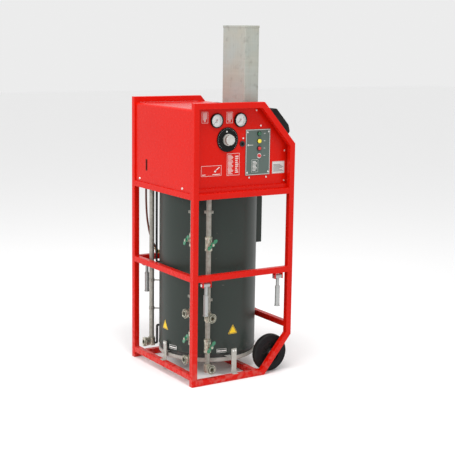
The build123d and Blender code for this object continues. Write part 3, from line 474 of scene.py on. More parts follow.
@dataclass(frozen=True)
class TyreRubber(Finish):
    """Tyre rubber, matt with grey dust on the tread."""

    middle: tuple[float, float] = (0.233, 0.117)
    radius: float = 0.115
    worn: float = 0.006
    colour: Colour = (0.006, 0.006, 0.007)
    dust: Colour = (0.045, 0.043, 0.041)

    def paint(self, shader: Shader) -> None:
        """Grey the tread by its distance from the axle, and grain it.

        Args:
            shader: the shader to build on.
        """
        x, _, z = shader.axes()
        away = ((x - self.middle[0]) ** 2.0 + (z - self.middle[1]) ** 2.0) ** 0.5
        tread = away.above(self.radius - self.worn, self.worn)
        scuff, grain = shader.noise(60, 4), shader.noise(800, 2)
        dusty = (tread * scuff * 0.5 + scuff.above(0.62, 0.2) * 0.12).held()
        shader.set(Base_Color=shader.mix(dusty, self.colour, self.dust))
        shader.set(Roughness=0.48 + scuff * 0.2, Specular_IOR_Level=0.2)
        shader.bump(grain + scuff, 0.00015)


class Finishes:
    """Every finish on the washer, by the maker's name for it."""

    RED = Enamel("red_enamel", (0.56, 0.005, 0.001), (0.64, 0.009, 0.003),
                 roughness=0.24, coat=0.03, shine=0.14)
    BOILER = Enamel("boiler_enamel", (0.022, 0.031, 0.026), (0.029, 0.039, 0.033),
                    roughness=0.38, coat=0.04, peel=0.00005, shine=0.26)
    BLACK_STEEL = Enamel("black_steel", (0.014, 0.015, 0.014), (0.025, 0.026, 0.025), roughness=0.5, coat=0.0)
    LEVER_GREEN = Enamel("lever_green", (0.002, 0.13, 0.055), (0.006, 0.19, 0.085),
                         roughness=0.2, coat=0.6, peel=0.0001)
    CONTROL_GREY = Enamel("control_grey", (0.085, 0.118, 0.105), (0.10, 0.135, 0.12),
                          roughness=0.38, coat=0.05, peel=0.00004, shine=0.3)
    HANDLE_GREY = Enamel("handle_grey", (0.36, 0.375, 0.37), (0.44, 0.45, 0.44),
                         roughness=0.34, coat=0.2, metallic=0.45)
    CASTING = Enamel("machine_grey", (0.12, 0.14, 0.15), (0.17, 0.19, 0.20),
                     roughness=0.5, coat=0.05, peel=0.0003)
    FLUE = RolledSheet("flue_sheet")
    STRAP = RolledSheet("strap_steel", (0.46, 0.46, 0.43), (0.40, 0.37, 0.32))
    PIPE = PlatedMetal("galvanised_pipe", (0.33, 0.32, 0.28), (0.24, 0.23, 0.20),
                       roughness=0.42, metallic=0.5, grain=300.0)
    NICKEL = PlatedMetal("nickel_plate", (0.60, 0.58, 0.48), (0.26, 0.25, 0.20))
    BRIGHT = PlatedMetal("bright_zinc", (0.86, 0.86, 0.84), (0.66, 0.65, 0.62), roughness=0.22, metallic=0.8)
    SATIN = PlatedMetal("satin_aluminium", (0.66, 0.65, 0.62), (0.52, 0.51, 0.48),
                        roughness=0.34, metallic=0.8, grain=900.0)
    BRASS = PlatedMetal("plain_brass", (0.55, 0.42, 0.18), (0.30, 0.22, 0.10), roughness=0.32)
    PLASTIC = Moulded("black_plastic")
    GLOSS_BLACK = Moulded("gloss_black", (0.005, 0.005, 0.005), (0.012, 0.012, 0.012),
                          roughness=0.2, grain=500.0, relief=0.00003)
    RIM = Moulded("rim_plastic", (0.010, 0.010, 0.010), (0.03, 0.03, 0.029), roughness=0.42)
    SHEATH = Moulded("conduit_sheath", (0.018, 0.018, 0.018), (0.05, 0.05, 0.05), roughness=0.42)
    HOSE = Moulded("brown_hose", (0.11, 0.026, 0.018), (0.19, 0.07, 0.05), roughness=0.45, grain=600.0)
    SEAL = Moulded("seal_rubber", (0.030, 0.034, 0.024), (0.06, 0.066, 0.05), roughness=0.55)
    TYRE = TyreRubber("tyre_rubber")
    PLATES = PlateStock("plate_stock")
    BEZEL = Bezels("button_bezels")
    PRINT = Glossy("white_print", (0.80, 0.79, 0.76), roughness=0.4)
    RED_PRINT = Glossy("red_print", (0.65, 0.04, 0.03), roughness=0.4)
    BLACK_PRINT = Glossy("black_print", NEAR_BLACK, roughness=0.4)
    BUTTON = Glossy("button_red", (0.62, 0.018, 0.02))
    LENS = Glossy("lamp_lens", (0.85, 0.72, 0.04), (0.01, 0.10, 0.045),
                  split=1.44, roughness=0.12, glow=0.12, ribs=2400.0)
    GLASS = ClearGlass("gauge_glass")


DRESS: dict[Finish, tuple[str, ...]] = {
    Finishes.RED: ("front_frame", "back_frame", "cross_rails", "side_roof_sheet", "front_panel", "rear_panel",
                   "slanted_cover", "handle_brackets"),
    Finishes.BOILER: ("boiler_jacket", "boiler_lid", "junction_box"),
    Finishes.BLACK_STEEL: ("boiler_base_ring", "cabinet_floor"),
    Finishes.LEVER_GREEN: ("front_upper_valve_handle", "front_lower_valve_handle", "left_upper_valve_handle",
                           "left_lower_valve_handle"),
    Finishes.CONTROL_GREY: ("control_plate",),
    Finishes.HANDLE_GREY: ("front_left_carrying_handle", "front_right_carrying_handle",
                           "rear_left_carrying_handle", "rear_right_carrying_handle"),
    Finishes.CASTING: ("pump_motor", "pump_block", "burner", "burner_fan", "drive_shaft"),
    Finishes.FLUE: ("flue_duct",),
    Finishes.STRAP: ("boiler_pan", "boiler_straps"),
    Finishes.PIPE: ("front_riser", "left_riser", "rear_riser", "heating_coil"),
    Finishes.NICKEL: ("valve_bodies", "hose_couplings", "claw_coupling"),
    Finishes.BRIGHT: ("screws_and_bolts", "stub_axles", "handle_pins"),
    Finishes.SATIN: ("regulator_knob",),
    Finishes.BRASS: ("hose_ferrules",),
    Finishes.PLASTIC: ("intake_cowl", "key_switch"),
    Finishes.GLOSS_BLACK: ("gauge_cases", "dial_disc", "pressure_needle", "temperature_needle"),
    Finishes.RIM: ("front_rim", "rear_rim"),
    Finishes.SHEATH: ("sensor_conduit", "feed_pipe"),
    Finishes.HOSE: ("supply_hose",),
    Finishes.TYRE: ("front_tyre", "rear_tyre"),
    Finishes.PLATES: ("printed_plates",),
    Finishes.BEZEL: ("button_bezels",),
    Finishes.BUTTON: ("start_button", "stop_button"),
    Finishes.LENS: ("indicator_lamps",),
    Finishes.GLASS: ("gauge_glasses",),
}


def dress_cad_nodes() -> None:
    """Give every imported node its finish, in its own material slots."""
    for finish, nodes in DRESS.items():
        for name in nodes:
            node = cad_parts[name]
            for place in node.material_slots:
                place.material = finish.material()
            log.info("dressed %s in %s", name, finish.name)


# ---------------------------------------------------------------- workshop
class Workshop:
    """The bench tools: primitives, edit-mode operators and modifiers, each leaving a clean mesh."""

    @staticmethod
    def clear() -> None:
        """Deselect everything."""
        for other in bpy.context.selected_objects:
            other.select_set(False)

    @classmethod
    def pick(cls, piece: Piece) -> Piece:
        """Select one object alone and make it active.

        Args:
            piece: the object.

        Returns:
            The same object.
        """
        cls.clear()
        piece.select_set(True)
        bpy.context.view_layer.objects.active = piece
        return piece

    @classmethod
    def start(cls, primitive: Callable[..., Any], **size: Any) -> Piece:
        """Add a primitive and settle its place into its mesh.

        Args:
            primitive: the operator that adds it.
            size: the operator's own settings.

        Returns:
            The new object.
        """
        cls.clear()
        primitive(**size)
        return cls.settle(bpy.context.active_object)

    @classmethod
    def settle(cls, piece: Piece) -> Piece:
        """Move an object's place, turn and scale into its mesh.

        Args:
            piece: the object.

        Returns:
            The same object.
        """
        cls.pick(piece)
        bpy.ops.object.transform_apply(location=True, rotation=True, scale=True)
        return piece

    @classmethod
    def edit(cls, piece: Piece, faces: Callable[[Vector, Vector], bool] | None,
             *steps: Callable[[], Any]) -> Piece:
        """Run edit-mode operators on chosen faces.

        Args:
            piece: the mesh to edit.
            faces: tells from a face's middle and normal whether it is chosen; None chooses all.
            steps: operators, run in order.

        Returns:
            The same object.
        """
        cls.pick(piece)
        mesh = piece.data
        chosen = [faces is None or faces(f.center, f.normal) for f in mesh.polygons]
        for group in (mesh.vertices, mesh.edges, mesh.polygons):
            group.foreach_set("select", [False] * len(group))
        mesh.polygons.foreach_set("select", chosen)
        bpy.ops.object.mode_set(mode="EDIT")
        bpy.ops.mesh.select_mode(type="FACE")
        for step in steps:
            step()
        bpy.ops.object.mode_set(mode="OBJECT")
        return piece

    @classmethod
    def modify(cls, piece: Piece, kind: str, **settings: Any) -> Piece:
        """Add a modifier, set it and apply it.

        Args:
            piece: the mesh to change.
            kind: the modifier's type.
            settings: its properties.

        Returns:
            The same object.
        """
        cls.pick(piece)
        tool = piece.modifiers.new(kind.lower(), kind)
        for key, value in settings.items():
            setattr(tool, key, value)
        bpy.ops.object.modifier_apply(modifier=tool.name)
        return piece

    @classmethod
    def soften(cls, piece: Piece, width: float, segments: int = 2) -> Piece:
        """Round the sharp edges; width is in metres."""
        return cls.modify(piece, "BEVEL", width=width, segments=segments, limit_method="ANGLE",
                          angle_limit=math.radians(35), use_clamp_overlap=True)

    @classmethod
    def join(cls, pieces: Sequence[Piece]) -> Piece:
        """Make several objects one.

        Args:
            pieces: the objects; the first takes in the rest.

        Returns:
            The joined object.
        """
        cls.clear()
        for piece in pieces:
            piece.select_set(True)
        bpy.context.view_layer.objects.active = pieces[0]
        if len(pieces) > 1:
            bpy.ops.object.join()
        return pieces[0]

    @staticmethod
    def copy(piece: Piece, move: Matrix) -> Piece:
        """Copy an object with its mesh.

        Args:
            piece: the pattern.
            move: where the copy's mesh goes.

        Returns:
            The copy.
        """
        twin = piece.copy()
        twin.data = piece.data.copy()
        twin.data.transform(move)
        bpy.context.scene.collection.objects.link(twin)
        return twin

    @classmethod
    def deliver(cls, pieces: Piece | Sequence[Piece], name: str, body: str,
                finish: Finish, slot: str, smooth: float = 35.0) -> Piece:
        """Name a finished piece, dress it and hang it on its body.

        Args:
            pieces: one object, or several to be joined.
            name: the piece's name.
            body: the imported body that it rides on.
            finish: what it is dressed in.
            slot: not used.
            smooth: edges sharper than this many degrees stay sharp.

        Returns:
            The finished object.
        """
        piece = cls.join(pieces) if isinstance(pieces, (list, tuple)) else pieces
        piece.name = piece.data.name = name
        cls.edit(piece, None, lambda: bpy.ops.mesh.remove_doubles(threshold=1e-6),
                 lambda: bpy.ops.mesh.normals_make_consistent(inside=False))
        cls.pick(piece)
        bpy.ops.object.shade_smooth_by_angle(angle=math.radians(smooth))
        piece.data.materials.clear()
        piece.data.materials.append(finish.material())
        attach(piece, body)
        log.info("made %s: %d faces on %s", name, len(piece.data.polygons), body)
        return piece


def middle_of(node: str) -> Vector:
    """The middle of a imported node's box."""
    low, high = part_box(node)
    return (low + high) / 2


def upright(middle: Point, way: Point) -> Matrix:
    """The move that takes a thing made along +Z to a place and a direction."""
    turn = UP.rotation_difference(Vector(way)).to_matrix().to_4x4()
    return Matrix.Translation(Vector(middle)) @ turn


def slab(middle: Point, size: Point, turn: float = 0.0, axis: str = "Y") -> Piece:
    """A rectangular block.

    Args:
        middle: where its middle goes.
        size: its length along each axis.
        turn: the angle it is turned by before it is placed.
        axis: the axis it is turned about.

    Returns:
        The block.
    """
    spin = Matrix.Rotation(turn, 4, axis)
    block = Workshop.start(bpy.ops.mesh.primitive_cube_add, size=1.0, scale=tuple(size))
    block.data.transform(Matrix.Translation(Vector(middle)) @ spin)
    return block


def disc(middle: Point, radius: float, depth: float, way: Point = FORWARD,
         sides: int = 48) -> Piece:
    """A round block.

    Args:
        middle: where its middle goes.
        radius: its radius.
        depth: its length along its axis.
        way: its axis's direction.
        sides: how many sides make it round.

    Returns:
        The block.
    """
    block = Workshop.start(bpy.ops.mesh.primitive_cylinder_add, vertices=sides, radius=radius, depth=depth)
    block.data.transform(upright(middle, way))
    return block


def ring(middle: Point, radius: float, thick: float, way: Point, sides: int = 64,
         flat: float = 1.0) -> Piece:
    """A ring of round section.

    Args:
        middle: where its middle goes.
        radius: from its axis to the section's middle.
        thick: the section's radius.
        way: its axis's direction.
        sides: how many steps make it round.
        flat: the section's size along the axis, as a share of its size across it.

    Returns:
        The ring.
    """
    loop = Workshop.start(bpy.ops.mesh.primitive_torus_add, major_radius=radius, minor_radius=thick,
                          major_segments=sides, minor_segments=10)
    loop.data.transform(upright(middle, way) @ Matrix.Diagonal((1, 1, flat, 1)))
    return loop


def border(width: float, height: float, line: float, thick: float) -> Piece:
    """A flat rectangular border, centred on the origin and lying in the XY plane.

    Args:
        width: its outer size in X.
        height: its outer size in Y.
        line: the width of its sides.
        thick: its thickness.

    Returns:
        The border.
    """
    sheet = Workshop.start(bpy.ops.mesh.primitive_plane_add, size=1.0)
    sheet.data.transform(Matrix.Diagonal((width, height, 1, 1)))
    Workshop.edit(sheet, None, lambda: bpy.ops.mesh.inset(thickness=line),
                  lambda: bpy.ops.mesh.delete(type="FACE"))
    return Workshop.modify(sheet, "SOLIDIFY", thickness=thick, offset=0)


def lathe(profile: Sequence[tuple[float, float]], middle: Point, way: Point, steps: int) -> Piece:
    """Turn a closed profile about an axis.

    Args:
        profile: points as distance from the axis and place along it.
        middle: the axis's zero point.
        way: the axis's direction.
        steps: how many steps make a full turn.

    Returns:
        The turned solid.
    """
    blank = Workshop.start(bpy.ops.mesh.primitive_circle_add, vertices=len(profile), radius=1.0)
    for vertex, (away, along) in zip(blank.data.vertices, profile):
        vertex.co = (away, 0.0, along)
    Workshop.pick(blank)
    bpy.ops.object.mode_set(mode="EDIT")
    bpy.ops.mesh.select_all(action="SELECT")
    bpy.ops.mesh.spin(steps=steps, angle=math.tau, center=(0, 0, 0), axis=UP)
    bpy.ops.mesh.remove_doubles(threshold=1e-6)
    bpy.ops.object.mode_set(mode="OBJECT")
    blank.data.transform(upright(middle, way))
    return blank


def around(piece: Piece, count: int, middle: Point, way: Point,
           sweep: float = math.tau, first: float = 0.0) -> list[Piece]:
    """Copies of a piece set round an axis; the piece itself is used up.

    Args:
        piece: the pattern.
        count: how many there are in the end.
        middle: a point on the axis.
        way: the axis's direction.
        sweep: the angle from the first copy to one past the last.
        first: the angle of the first copy.

    Returns:
        The copies.
    """
    centre = Matrix.Translation(Vector(middle))
    copies = []
    for i in range(count):
        turn = Matrix.Rotation(first + sweep * i / count, 4, Vector(way))
        copies.append(Workshop.copy(piece, centre @ turn @ centre.inverted()))
    bpy.data.objects.remove(piece)
    return copies


# ---------------------------------------------------------------- tube frame
@dataclass
class TubeFrame:
    """The welds of the red tube frame, and the painted caps on the axle ends."""

    bead: float = 2.3 * MM
    pitch: float = 3.1 * MM
    short: float = 4 * MM
    tube: float = 35 * MM
    floor_rail: float = 0.035
    knee_rail: float = 0.275
    mid_rail: float = 0.622
    cabinet_rail: float = 1.100
    cap_radius: float = 11.5 * MM
    cap_depth: float = 1.6 * MM

    def weld(self, start: Vector, end: Vector) -> Piece:
        """A rippled weld bead.

        Args:
            start: the middle of its first drop.
            end: the middle of its last drop.

        Returns:
            The bead.
        """
        run = end - start
        drop = Workshop.start(bpy.ops.mesh.primitive_ico_sphere_add, subdivisions=2, radius=self.bead,
                              location=start)
        count = max(2, round(run.length / self.pitch) + 1)
        return Workshop.modify(drop, "ARRAY", count=count, use_relative_offset=False,
                               use_constant_offset=True, constant_offset_displace=run / (count - 1))

    def rail_end(self, x: float, y: float, z: float) -> Iterable[tuple[Vector, Vector]]:
        """The weld lines where a cross rail meets a side frame.

        Args:
            x: the rail's least x.
            y: the side frame's inner face.
            z: the rail's underside.

        Yields:
            The two ends of each line.
        """
        inner = x + self.tube if x < 0 else x
        left, right = x + self.short, x + self.tube - self.short
        top = z + self.tube
        yield Vector((left, y, top)), Vector((right, y, top))
        if z > self.tube:
            yield Vector((left, y, z)), Vector((right, y, z))
        yield Vector((inner, y, z + self.short)), Vector((inner, y, top - self.short))

    def build(self) -> None:
        """Weld the cross rails to the side frames and the side rails to their posts, and cap the axles."""
        low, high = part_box("front_frame")
        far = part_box("back_frame")[1]
        face_front, face_back = high.y, far.y - self.tube
        right = high.x - self.tube
        rails = [(low.x, self.floor_rail), (low.x, self.mid_rail), (low.x, self.cabinet_rail),
                 (right, self.cabinet_rail), (right, self.knee_rail)]
        lines = [line for x, z in rails for y in (face_front, face_back) for line in self.rail_end(x, y, z)]
        for ends in ((low.y, face_front), (far.y, face_back)):
            near, deep = min(ends) + self.short, max(ends) - self.short
            for z in (self.mid_rail, self.cabinet_rail):
                for x in (low.x + self.tube, right):
                    for level in (z, z + self.tube):
                        lines.append((Vector((x, near, level)), Vector((x, deep, level))))
        beads = [self.weld(*line) for line in lines]
        axle = middle_of("stub_axles")
        for y, way in ((low.y, -1), (far.y, 1)):
            cap = disc((axle.x, y + way * 0.3 * MM, axle.z), self.cap_radius, self.cap_depth, (0, way, 0))
            beads.append(Workshop.soften(cap, 0.5 * MM))
        Workshop.deliver(beads, "frame_weld_beads", ROOT, Finishes.RED, "red_paint", 80)


# ---------------------------------------------------------------- control panel
class Hand(Enum):
    """Which way round a printed block's bars are set."""

    ROWS = "rows"
    COLUMNS = "columns"


@dataclass(frozen=True)
class Block:
    """A printed rectangle by its middle and size, with the bars that fill it."""

    x: float
    z: float
    width: float
    height: float
    count: int = 0
    hand: Hand = Hand.ROWS


@dataclass
class ControlPanel:
    """Printed outlines, bars and scales on the panel, the control plate and the dials."""

    LABELS: ClassVar[tuple[Block, ...]] = (
        Block(-0.252, 1.566, 0.042, 0.064), Block(-0.086, 1.562, 0.042, 0.064),
        Block(-0.206, 1.259, 0.136, 0.060), Block(-0.057, 1.290, 0.086, 0.128))
    LABEL_BARS: ClassVar[tuple[Block, ...]] = (
        Block(-0.252, 1.566, 0.030, 0.054, 4, Hand.COLUMNS),
        Block(-0.086, 1.562, 0.030, 0.054, 4, Hand.COLUMNS),
        Block(-0.250, 1.238, 0.036, 0.008, 1), Block(-0.172, 1.238, 0.050, 0.008, 1),
        Block(-0.075, 1.290, 0.036, 0.116, 17), Block(-0.032, 1.290, 0.022, 0.104, 9))
    WAND: ClassVar[tuple[tuple[Block, float], ...]] = (
        (Block(-0.168, 1.266, 0.044, 0.005), -0.62), (Block(-0.176, 1.256, 0.005, 0.016), 0.4))
    FOIL: ClassVar[Block] = Block(0.263, 1.257, 0.084, 0.068)
    FOIL_BARS: ClassVar[Block] = Block(0.263, 1.254, 0.072, 0.046, 7)
    NOTE: ClassVar[Block] = Block(0.092, 1.274, 0.046, 0.074)
    NOTE_BARS: ClassVar[Block] = Block(0.092, 1.274, 0.032, 0.060, 8)

    film: float = 0.15 * MM
    line: float = 1.5 * MM
    stock: float = 0.8 * MM
    fill: float = 0.42
    title_z: float = 1.397
    lamp_levels: tuple[float, ...] = (1.462, 1.419, 1.376, 1.333)
    scale_start: float = math.radians(-135)
    gauges_x: tuple[float, float] = (-0.174, -0.013)
    gauge_z: float = 1.546
    gauge_sweep: float = math.radians(276)
    gauge_ticks: tuple[tuple[int, float, float], ...] = ((28, 3 * MM, 31 * MM), (7, 6.5 * MM, 29.5 * MM))
    gauge_bars: tuple[tuple[float, float], ...] = ((-11 * MM, 12 * MM), (9 * MM, 8 * MM))
    sector_reach: float = 25 * MM
    sector_patches: int = 16
    sector_start: float = math.radians(52)
    sector_sweep: float = math.radians(80)
    glass_radius: float = 37.2 * MM
    dial_x: float = -0.099
    dial_z: float = 1.435
    dial_sweep: float = math.radians(279)
    dial_ticks: int = 31
    dial_reach: float = 64 * MM
    pointer_reach: float = 47 * MM
    pointer_turn: float = math.radians(-8)
    panel_y: float = field(default_factory=lambda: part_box("front_panel")[0].y + 22 * MM)
    plate_y: float = field(default_factory=lambda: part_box("control_plate")[0].y)

    def printed(self, block: Block, y: float, turn: float = 0.0) -> Piece:
        """A filled rectangle of print on the face at y, turned in that face."""
        return slab((block.x, y - self.film / 2, block.z), (block.width, self.film, block.height), turn)

    def outline(self, block: Block, y: float, line: float) -> Piece:
        """A rectangular outline of print.

        Args:
            block: its middle and outer size.
            y: the face that it is printed on.
            line: the line's width.

        Returns:
            The outline.
        """
        sheet = border(block.width, block.height, line, self.film)
        stand = Matrix.Rotation(math.pi / 2, 4, "X")
        sheet.data.transform(Matrix.Translation((block.x, y - self.film / 2, block.z)) @ stand)
        return sheet

    def bars(self, block: Block, y: float) -> list[Piece]:
        """Plain bars of uneven length that fill a block.

        Args:
            block: its middle and size, how many bars there are and which way round they are set.
            y: the face that they are printed on.

        Returns:
            The bars.
        """
        made = []
        for i in range(block.count):
            share = 0.62 + 0.38 * abs(math.sin(2.3 * i + block.width * 90))
            if block.hand is Hand.ROWS:
                long, pitch = block.width * share, block.height / block.count
                level = block.z + block.height / 2 - pitch * (i + 0.5)
                bar = Block(block.x - (block.width - long) / 2, level, long, pitch * self.fill)
            else:
                tall, pitch = block.height * share, block.width / block.count
                across = block.x - block.width / 2 + pitch * (i + 0.5)
                bar = Block(across, block.z + (block.height - tall) / 2, pitch * self.fill, tall)
            made.append(self.printed(bar, y))
        return made

    def panel_print(self) -> None:
        """White outlines, bars and a slanted wand on the red films, and grey print on the foil."""
        face = self.panel_y - self.stock
        parts = [self.outline(label, face, self.line) for label in self.LABELS]
        parts += [bar for block in self.LABEL_BARS for bar in self.bars(block, face)]
        parts += [self.printed(block, face, turn) for block, turn in self.WAND]
        Workshop.deliver(parts, "panel_print", ROOT, Finishes.PRINT, "print_white")
        foil = self.bars(self.FOIL_BARS, face) + [self.outline(self.FOIL, face, 0.8 * MM)]
        Workshop.deliver(foil, "sticker_print", ROOT, Finishes.BLACK_PRINT, "print_white")

    def control_print(self) -> None:
        """The control plate's border, title, note and a bar beside each lamp and button."""
        low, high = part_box("control_plate")
        centre, inset = middle_of("control_plate"), 5 * MM
        x, y = centre.x, self.plate_y
        edge = Block(x, centre.z, high.x - low.x - inset, high.z - low.z - inset)
        marks = [Block(x - 52 * MM, self.title_z, 44 * MM, 6 * MM, 1)]
        marks += [Block(x + 46 * MM, level, 12 * MM, 5 * MM, 1) for level in self.lamp_levels]
        parts = [self.outline(edge, y, 2.2 * MM), self.outline(self.NOTE, y - self.stock, 1.3 * MM)]
        parts.append(self.printed(Block(x - 68 * MM, self.title_z, 9 * MM, 9 * MM), y))
        parts += [bar for block in marks for bar in self.bars(block, y)]
        parts += self.bars(self.NOTE_BARS, y - self.stock)
        Workshop.deliver(parts, "control_plate_print", ROOT, Finishes.PRINT, "print_white")

    def gauge_scales(self) -> None:
        """Ticks, bars and a red sector on each gauge's dial, a hub cap and a ring that holds the glass."""
        marks, arcs, holders = [], [], []
        face, z = self.panel_y - 3.0 * MM, self.gauge_z
        for x in self.gauges_x:
            hub = (x, face, z)
            for count, long, reach in self.gauge_ticks:
                tick = self.printed(Block(x, z + reach, 0.9 * MM, long), face)
                marks += around(tick, count, hub, BACK, self.gauge_sweep, self.scale_start)
            for level, width in self.gauge_bars:
                marks.append(self.printed(Block(x, z + level, width, 2.2 * MM), face))
            patch = self.printed(Block(x, z + self.sector_reach, 4.6 * MM, 2.2 * MM), face)
            arcs += around(patch, self.sector_patches, hub, BACK, self.sector_sweep, self.sector_start)
            arcs.append(Workshop.soften(disc((x, face - 4.3 * MM, z), 3.2 * MM, 2.0 * MM), 0.6 * MM))
            holders.append(ring((x, self.panel_y - 10.8 * MM, z), self.glass_radius, 1.3 * MM, FORWARD, 72))
        Workshop.deliver(marks, "gauge_scale_marks", ROOT, Finishes.BLACK_PRINT, "print_white")
        Workshop.deliver(arcs, "gauge_red_sectors", ROOT, Finishes.RED_PRINT, "button_red")
        Workshop.deliver(holders, "gauge_glass_rings", ROOT, Finishes.GLOSS_BLACK, "black_plastic")

    def dial_marks(self) -> None:
        """Fine marks and a pointer mark on the regulator's disc, and a line and a cap on its knob."""
        x, z, face = self.dial_x, self.dial_z, self.panel_y - 5.0 * MM
        tick = self.printed(Block(x, z + self.dial_reach, 0.7 * MM, 4 * MM), face)
        marks = around(tick, self.dial_ticks, (x, face, z), BACK, self.dial_sweep, self.scale_start)
        pointer = disc((x, face - self.film / 2, z + self.pointer_reach), 7.5 * MM, self.film, sides=3)
        marks += around(pointer, 1, (x, face, z), BACK, first=self.pointer_turn)
        Workshop.deliver(marks, "regulator_scale", ROOT, Finishes.PRINT, "print_white")
        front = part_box("regulator_knob")[0].y
        groove = slab((x, front - 0.1 * MM, z + 18 * MM), (2.2 * MM, 0.4 * MM, 16 * MM))
        cap = Workshop.soften(disc((x, front - 0.4 * MM, z), 11 * MM, 1.0 * MM), 0.4 * MM)
        Workshop.deliver([groove, cap], "regulator_knob_cap", "knob", Finishes.SATIN, "knob_silver")

    def build(self) -> None:
        """Print and fit everything on the panel."""
        self.panel_print()
        self.control_print()
        self.gauge_scales()
        self.dial_marks()


# ---------------------------------------------------------------- cabinet
@dataclass
class Cabinet:
    """Cowl ribs, the side slot's grommet (its black partly painted shade) and the flue's trim."""

    slope: float = math.atan2(0.250, 0.224)
    slots: int = 10
    pitch: float = 56 * MM
    cowl_along: float = 141 * MM
    slot_y: float = 0.2035
    slot_z: float = 1.245
    hem: float = 14 * MM
    proud: float = 0.9 * MM
    seam_foot: float = 1.640
    first_spot: float = 1.680
    spots: int = 7
    spot_pitch: float = 62 * MM
    collar_lip: float = 22 * MM
    collar_depth: float = 1.2 * MM

    def cowl(self) -> None:
        """Moulded ribs over the cowl's back, and a bar on each side of every slot."""
        along = Vector((math.cos(self.slope), 0, -math.sin(self.slope)))
        out = Vector((math.sin(self.slope), 0, math.cos(self.slope)))
        cover_low, cover_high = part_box("slanted_cover")
        ridge = Vector((cover_low.x, 0, cover_high.z)) + along * self.cowl_along
        middle = (self.slots - 1) / 2
        wide = [(i - middle - 0.5) * self.pitch for i in range(self.slots + 1)]
        narrow = [(i - middle) * self.pitch + side * 9 * MM for i in range(self.slots) for side in (-1, 1)]
        ribs = []
        for places, rise, size, edge in ((wide, 72 * MM, (128 * MM, 5 * MM, 3 * MM), 1.2 * MM),
                                         (narrow, 71.2 * MM, (100 * MM, 2.2 * MM, 2.4 * MM), 0.8 * MM)):
            for y in places:
                rib = slab(ridge + out * rise + Vector((0, y, 0)), size, self.slope)
                ribs.append(Workshop.soften(rib, edge))
        Workshop.deliver(ribs, "cowl_ribs", ROOT, Finishes.PLASTIC, "black_plastic")

    def slot_shade_grommet(self) -> None:
        """A black rubber grommet in the upright slot of the left sheet; its black border is also painted shade
        that widens the slot's dark.
        """
        # painted shade: the black border widens the dark of the slot, standing in for the shade in the hollow
        # behind it
        grommet = Workshop.soften(border(17 * MM, 68 * MM, 4.4 * MM, 2.4 * MM), 0.8 * MM)
        stand = Matrix(((0, 0, -1), (-1, 0, 0), (0, 1, 0))).to_4x4()
        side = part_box("side_roof_sheet")[0].x
        grommet.data.transform(Matrix.Translation((side - 0.6 * MM, self.slot_y, self.slot_z)) @ stand)
        Workshop.deliver(grommet, "side_slot_shade_grommet", ROOT, Finishes.PLASTIC, "black_plastic")

    def flue_hem(self) -> None:
        """A folded hem at the flue's top, and a lap seam with spot welds at its back corner."""
        low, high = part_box("flue_duct")
        centre, proud = middle_of("flue_duct"), self.proud
        wide, deep = high.x - low.x, high.y - low.y
        middle = high.z - self.hem / 2
        trims = []
        for side in (-1, 1):
            trims.append(slab((centre.x + side * (wide + proud) / 2, centre.y, middle),
                              (proud, deep + 2 * proud, self.hem)))
            trims.append(slab((centre.x, centre.y + side * (deep + proud) / 2, middle),
                              (wide, proud, self.hem)))
        length, seam_y = high.z - self.hem - self.seam_foot, high.y - 16 * MM
        trims.append(slab((high.x + proud / 2, seam_y, self.seam_foot + length / 2),
                          (proud, 22 * MM, length)))
        trims = [Workshop.soften(trim, 0.35 * MM) for trim in trims]
        for i in range(self.spots):
            place = (high.x + proud + 0.1 * MM, seam_y, self.first_spot + i * self.spot_pitch)
            trims.append(Workshop.soften(disc(place, 3.4 * MM, 0.5 * MM, (1, 0, 0), 24), 0.2 * MM))
        Workshop.deliver(trims, "flue_hem_and_seam", ROOT, Finishes.FLUE, "bare_steel")

    def roof_collar(self) -> None:
        """A flat collar round the flue's left, front and back, where it leaves the roof."""
        low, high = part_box("flue_duct")
        centre, lip, gap = middle_of("flue_duct"), self.collar_lip, 0.8 * MM
        wide, deep = high.x - low.x, high.y - low.y
        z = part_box("side_roof_sheet")[1].z + self.collar_depth / 2
        collar = [slab((low.x - lip / 2 - gap, centre.y, z), (lip, deep + 2 * lip, self.collar_depth))]
        for side in (-1, 1):
            y = centre.y + side * (deep / 2 + lip / 2 + gap)
            collar.append(slab((centre.x, y, z), (wide, lip, self.collar_depth)))
        collar = [Workshop.soften(strip, 0.4 * MM) for strip in collar]
        Workshop.deliver(collar, "flue_roof_collar", ROOT, Finishes.BLACK_STEEL, "black_metal")

    def build(self) -> None:
        """Fit the cabinet's trim."""
        self.cowl()
        self.slot_shade_grommet()
        self.flue_hem()
        self.roof_collar()


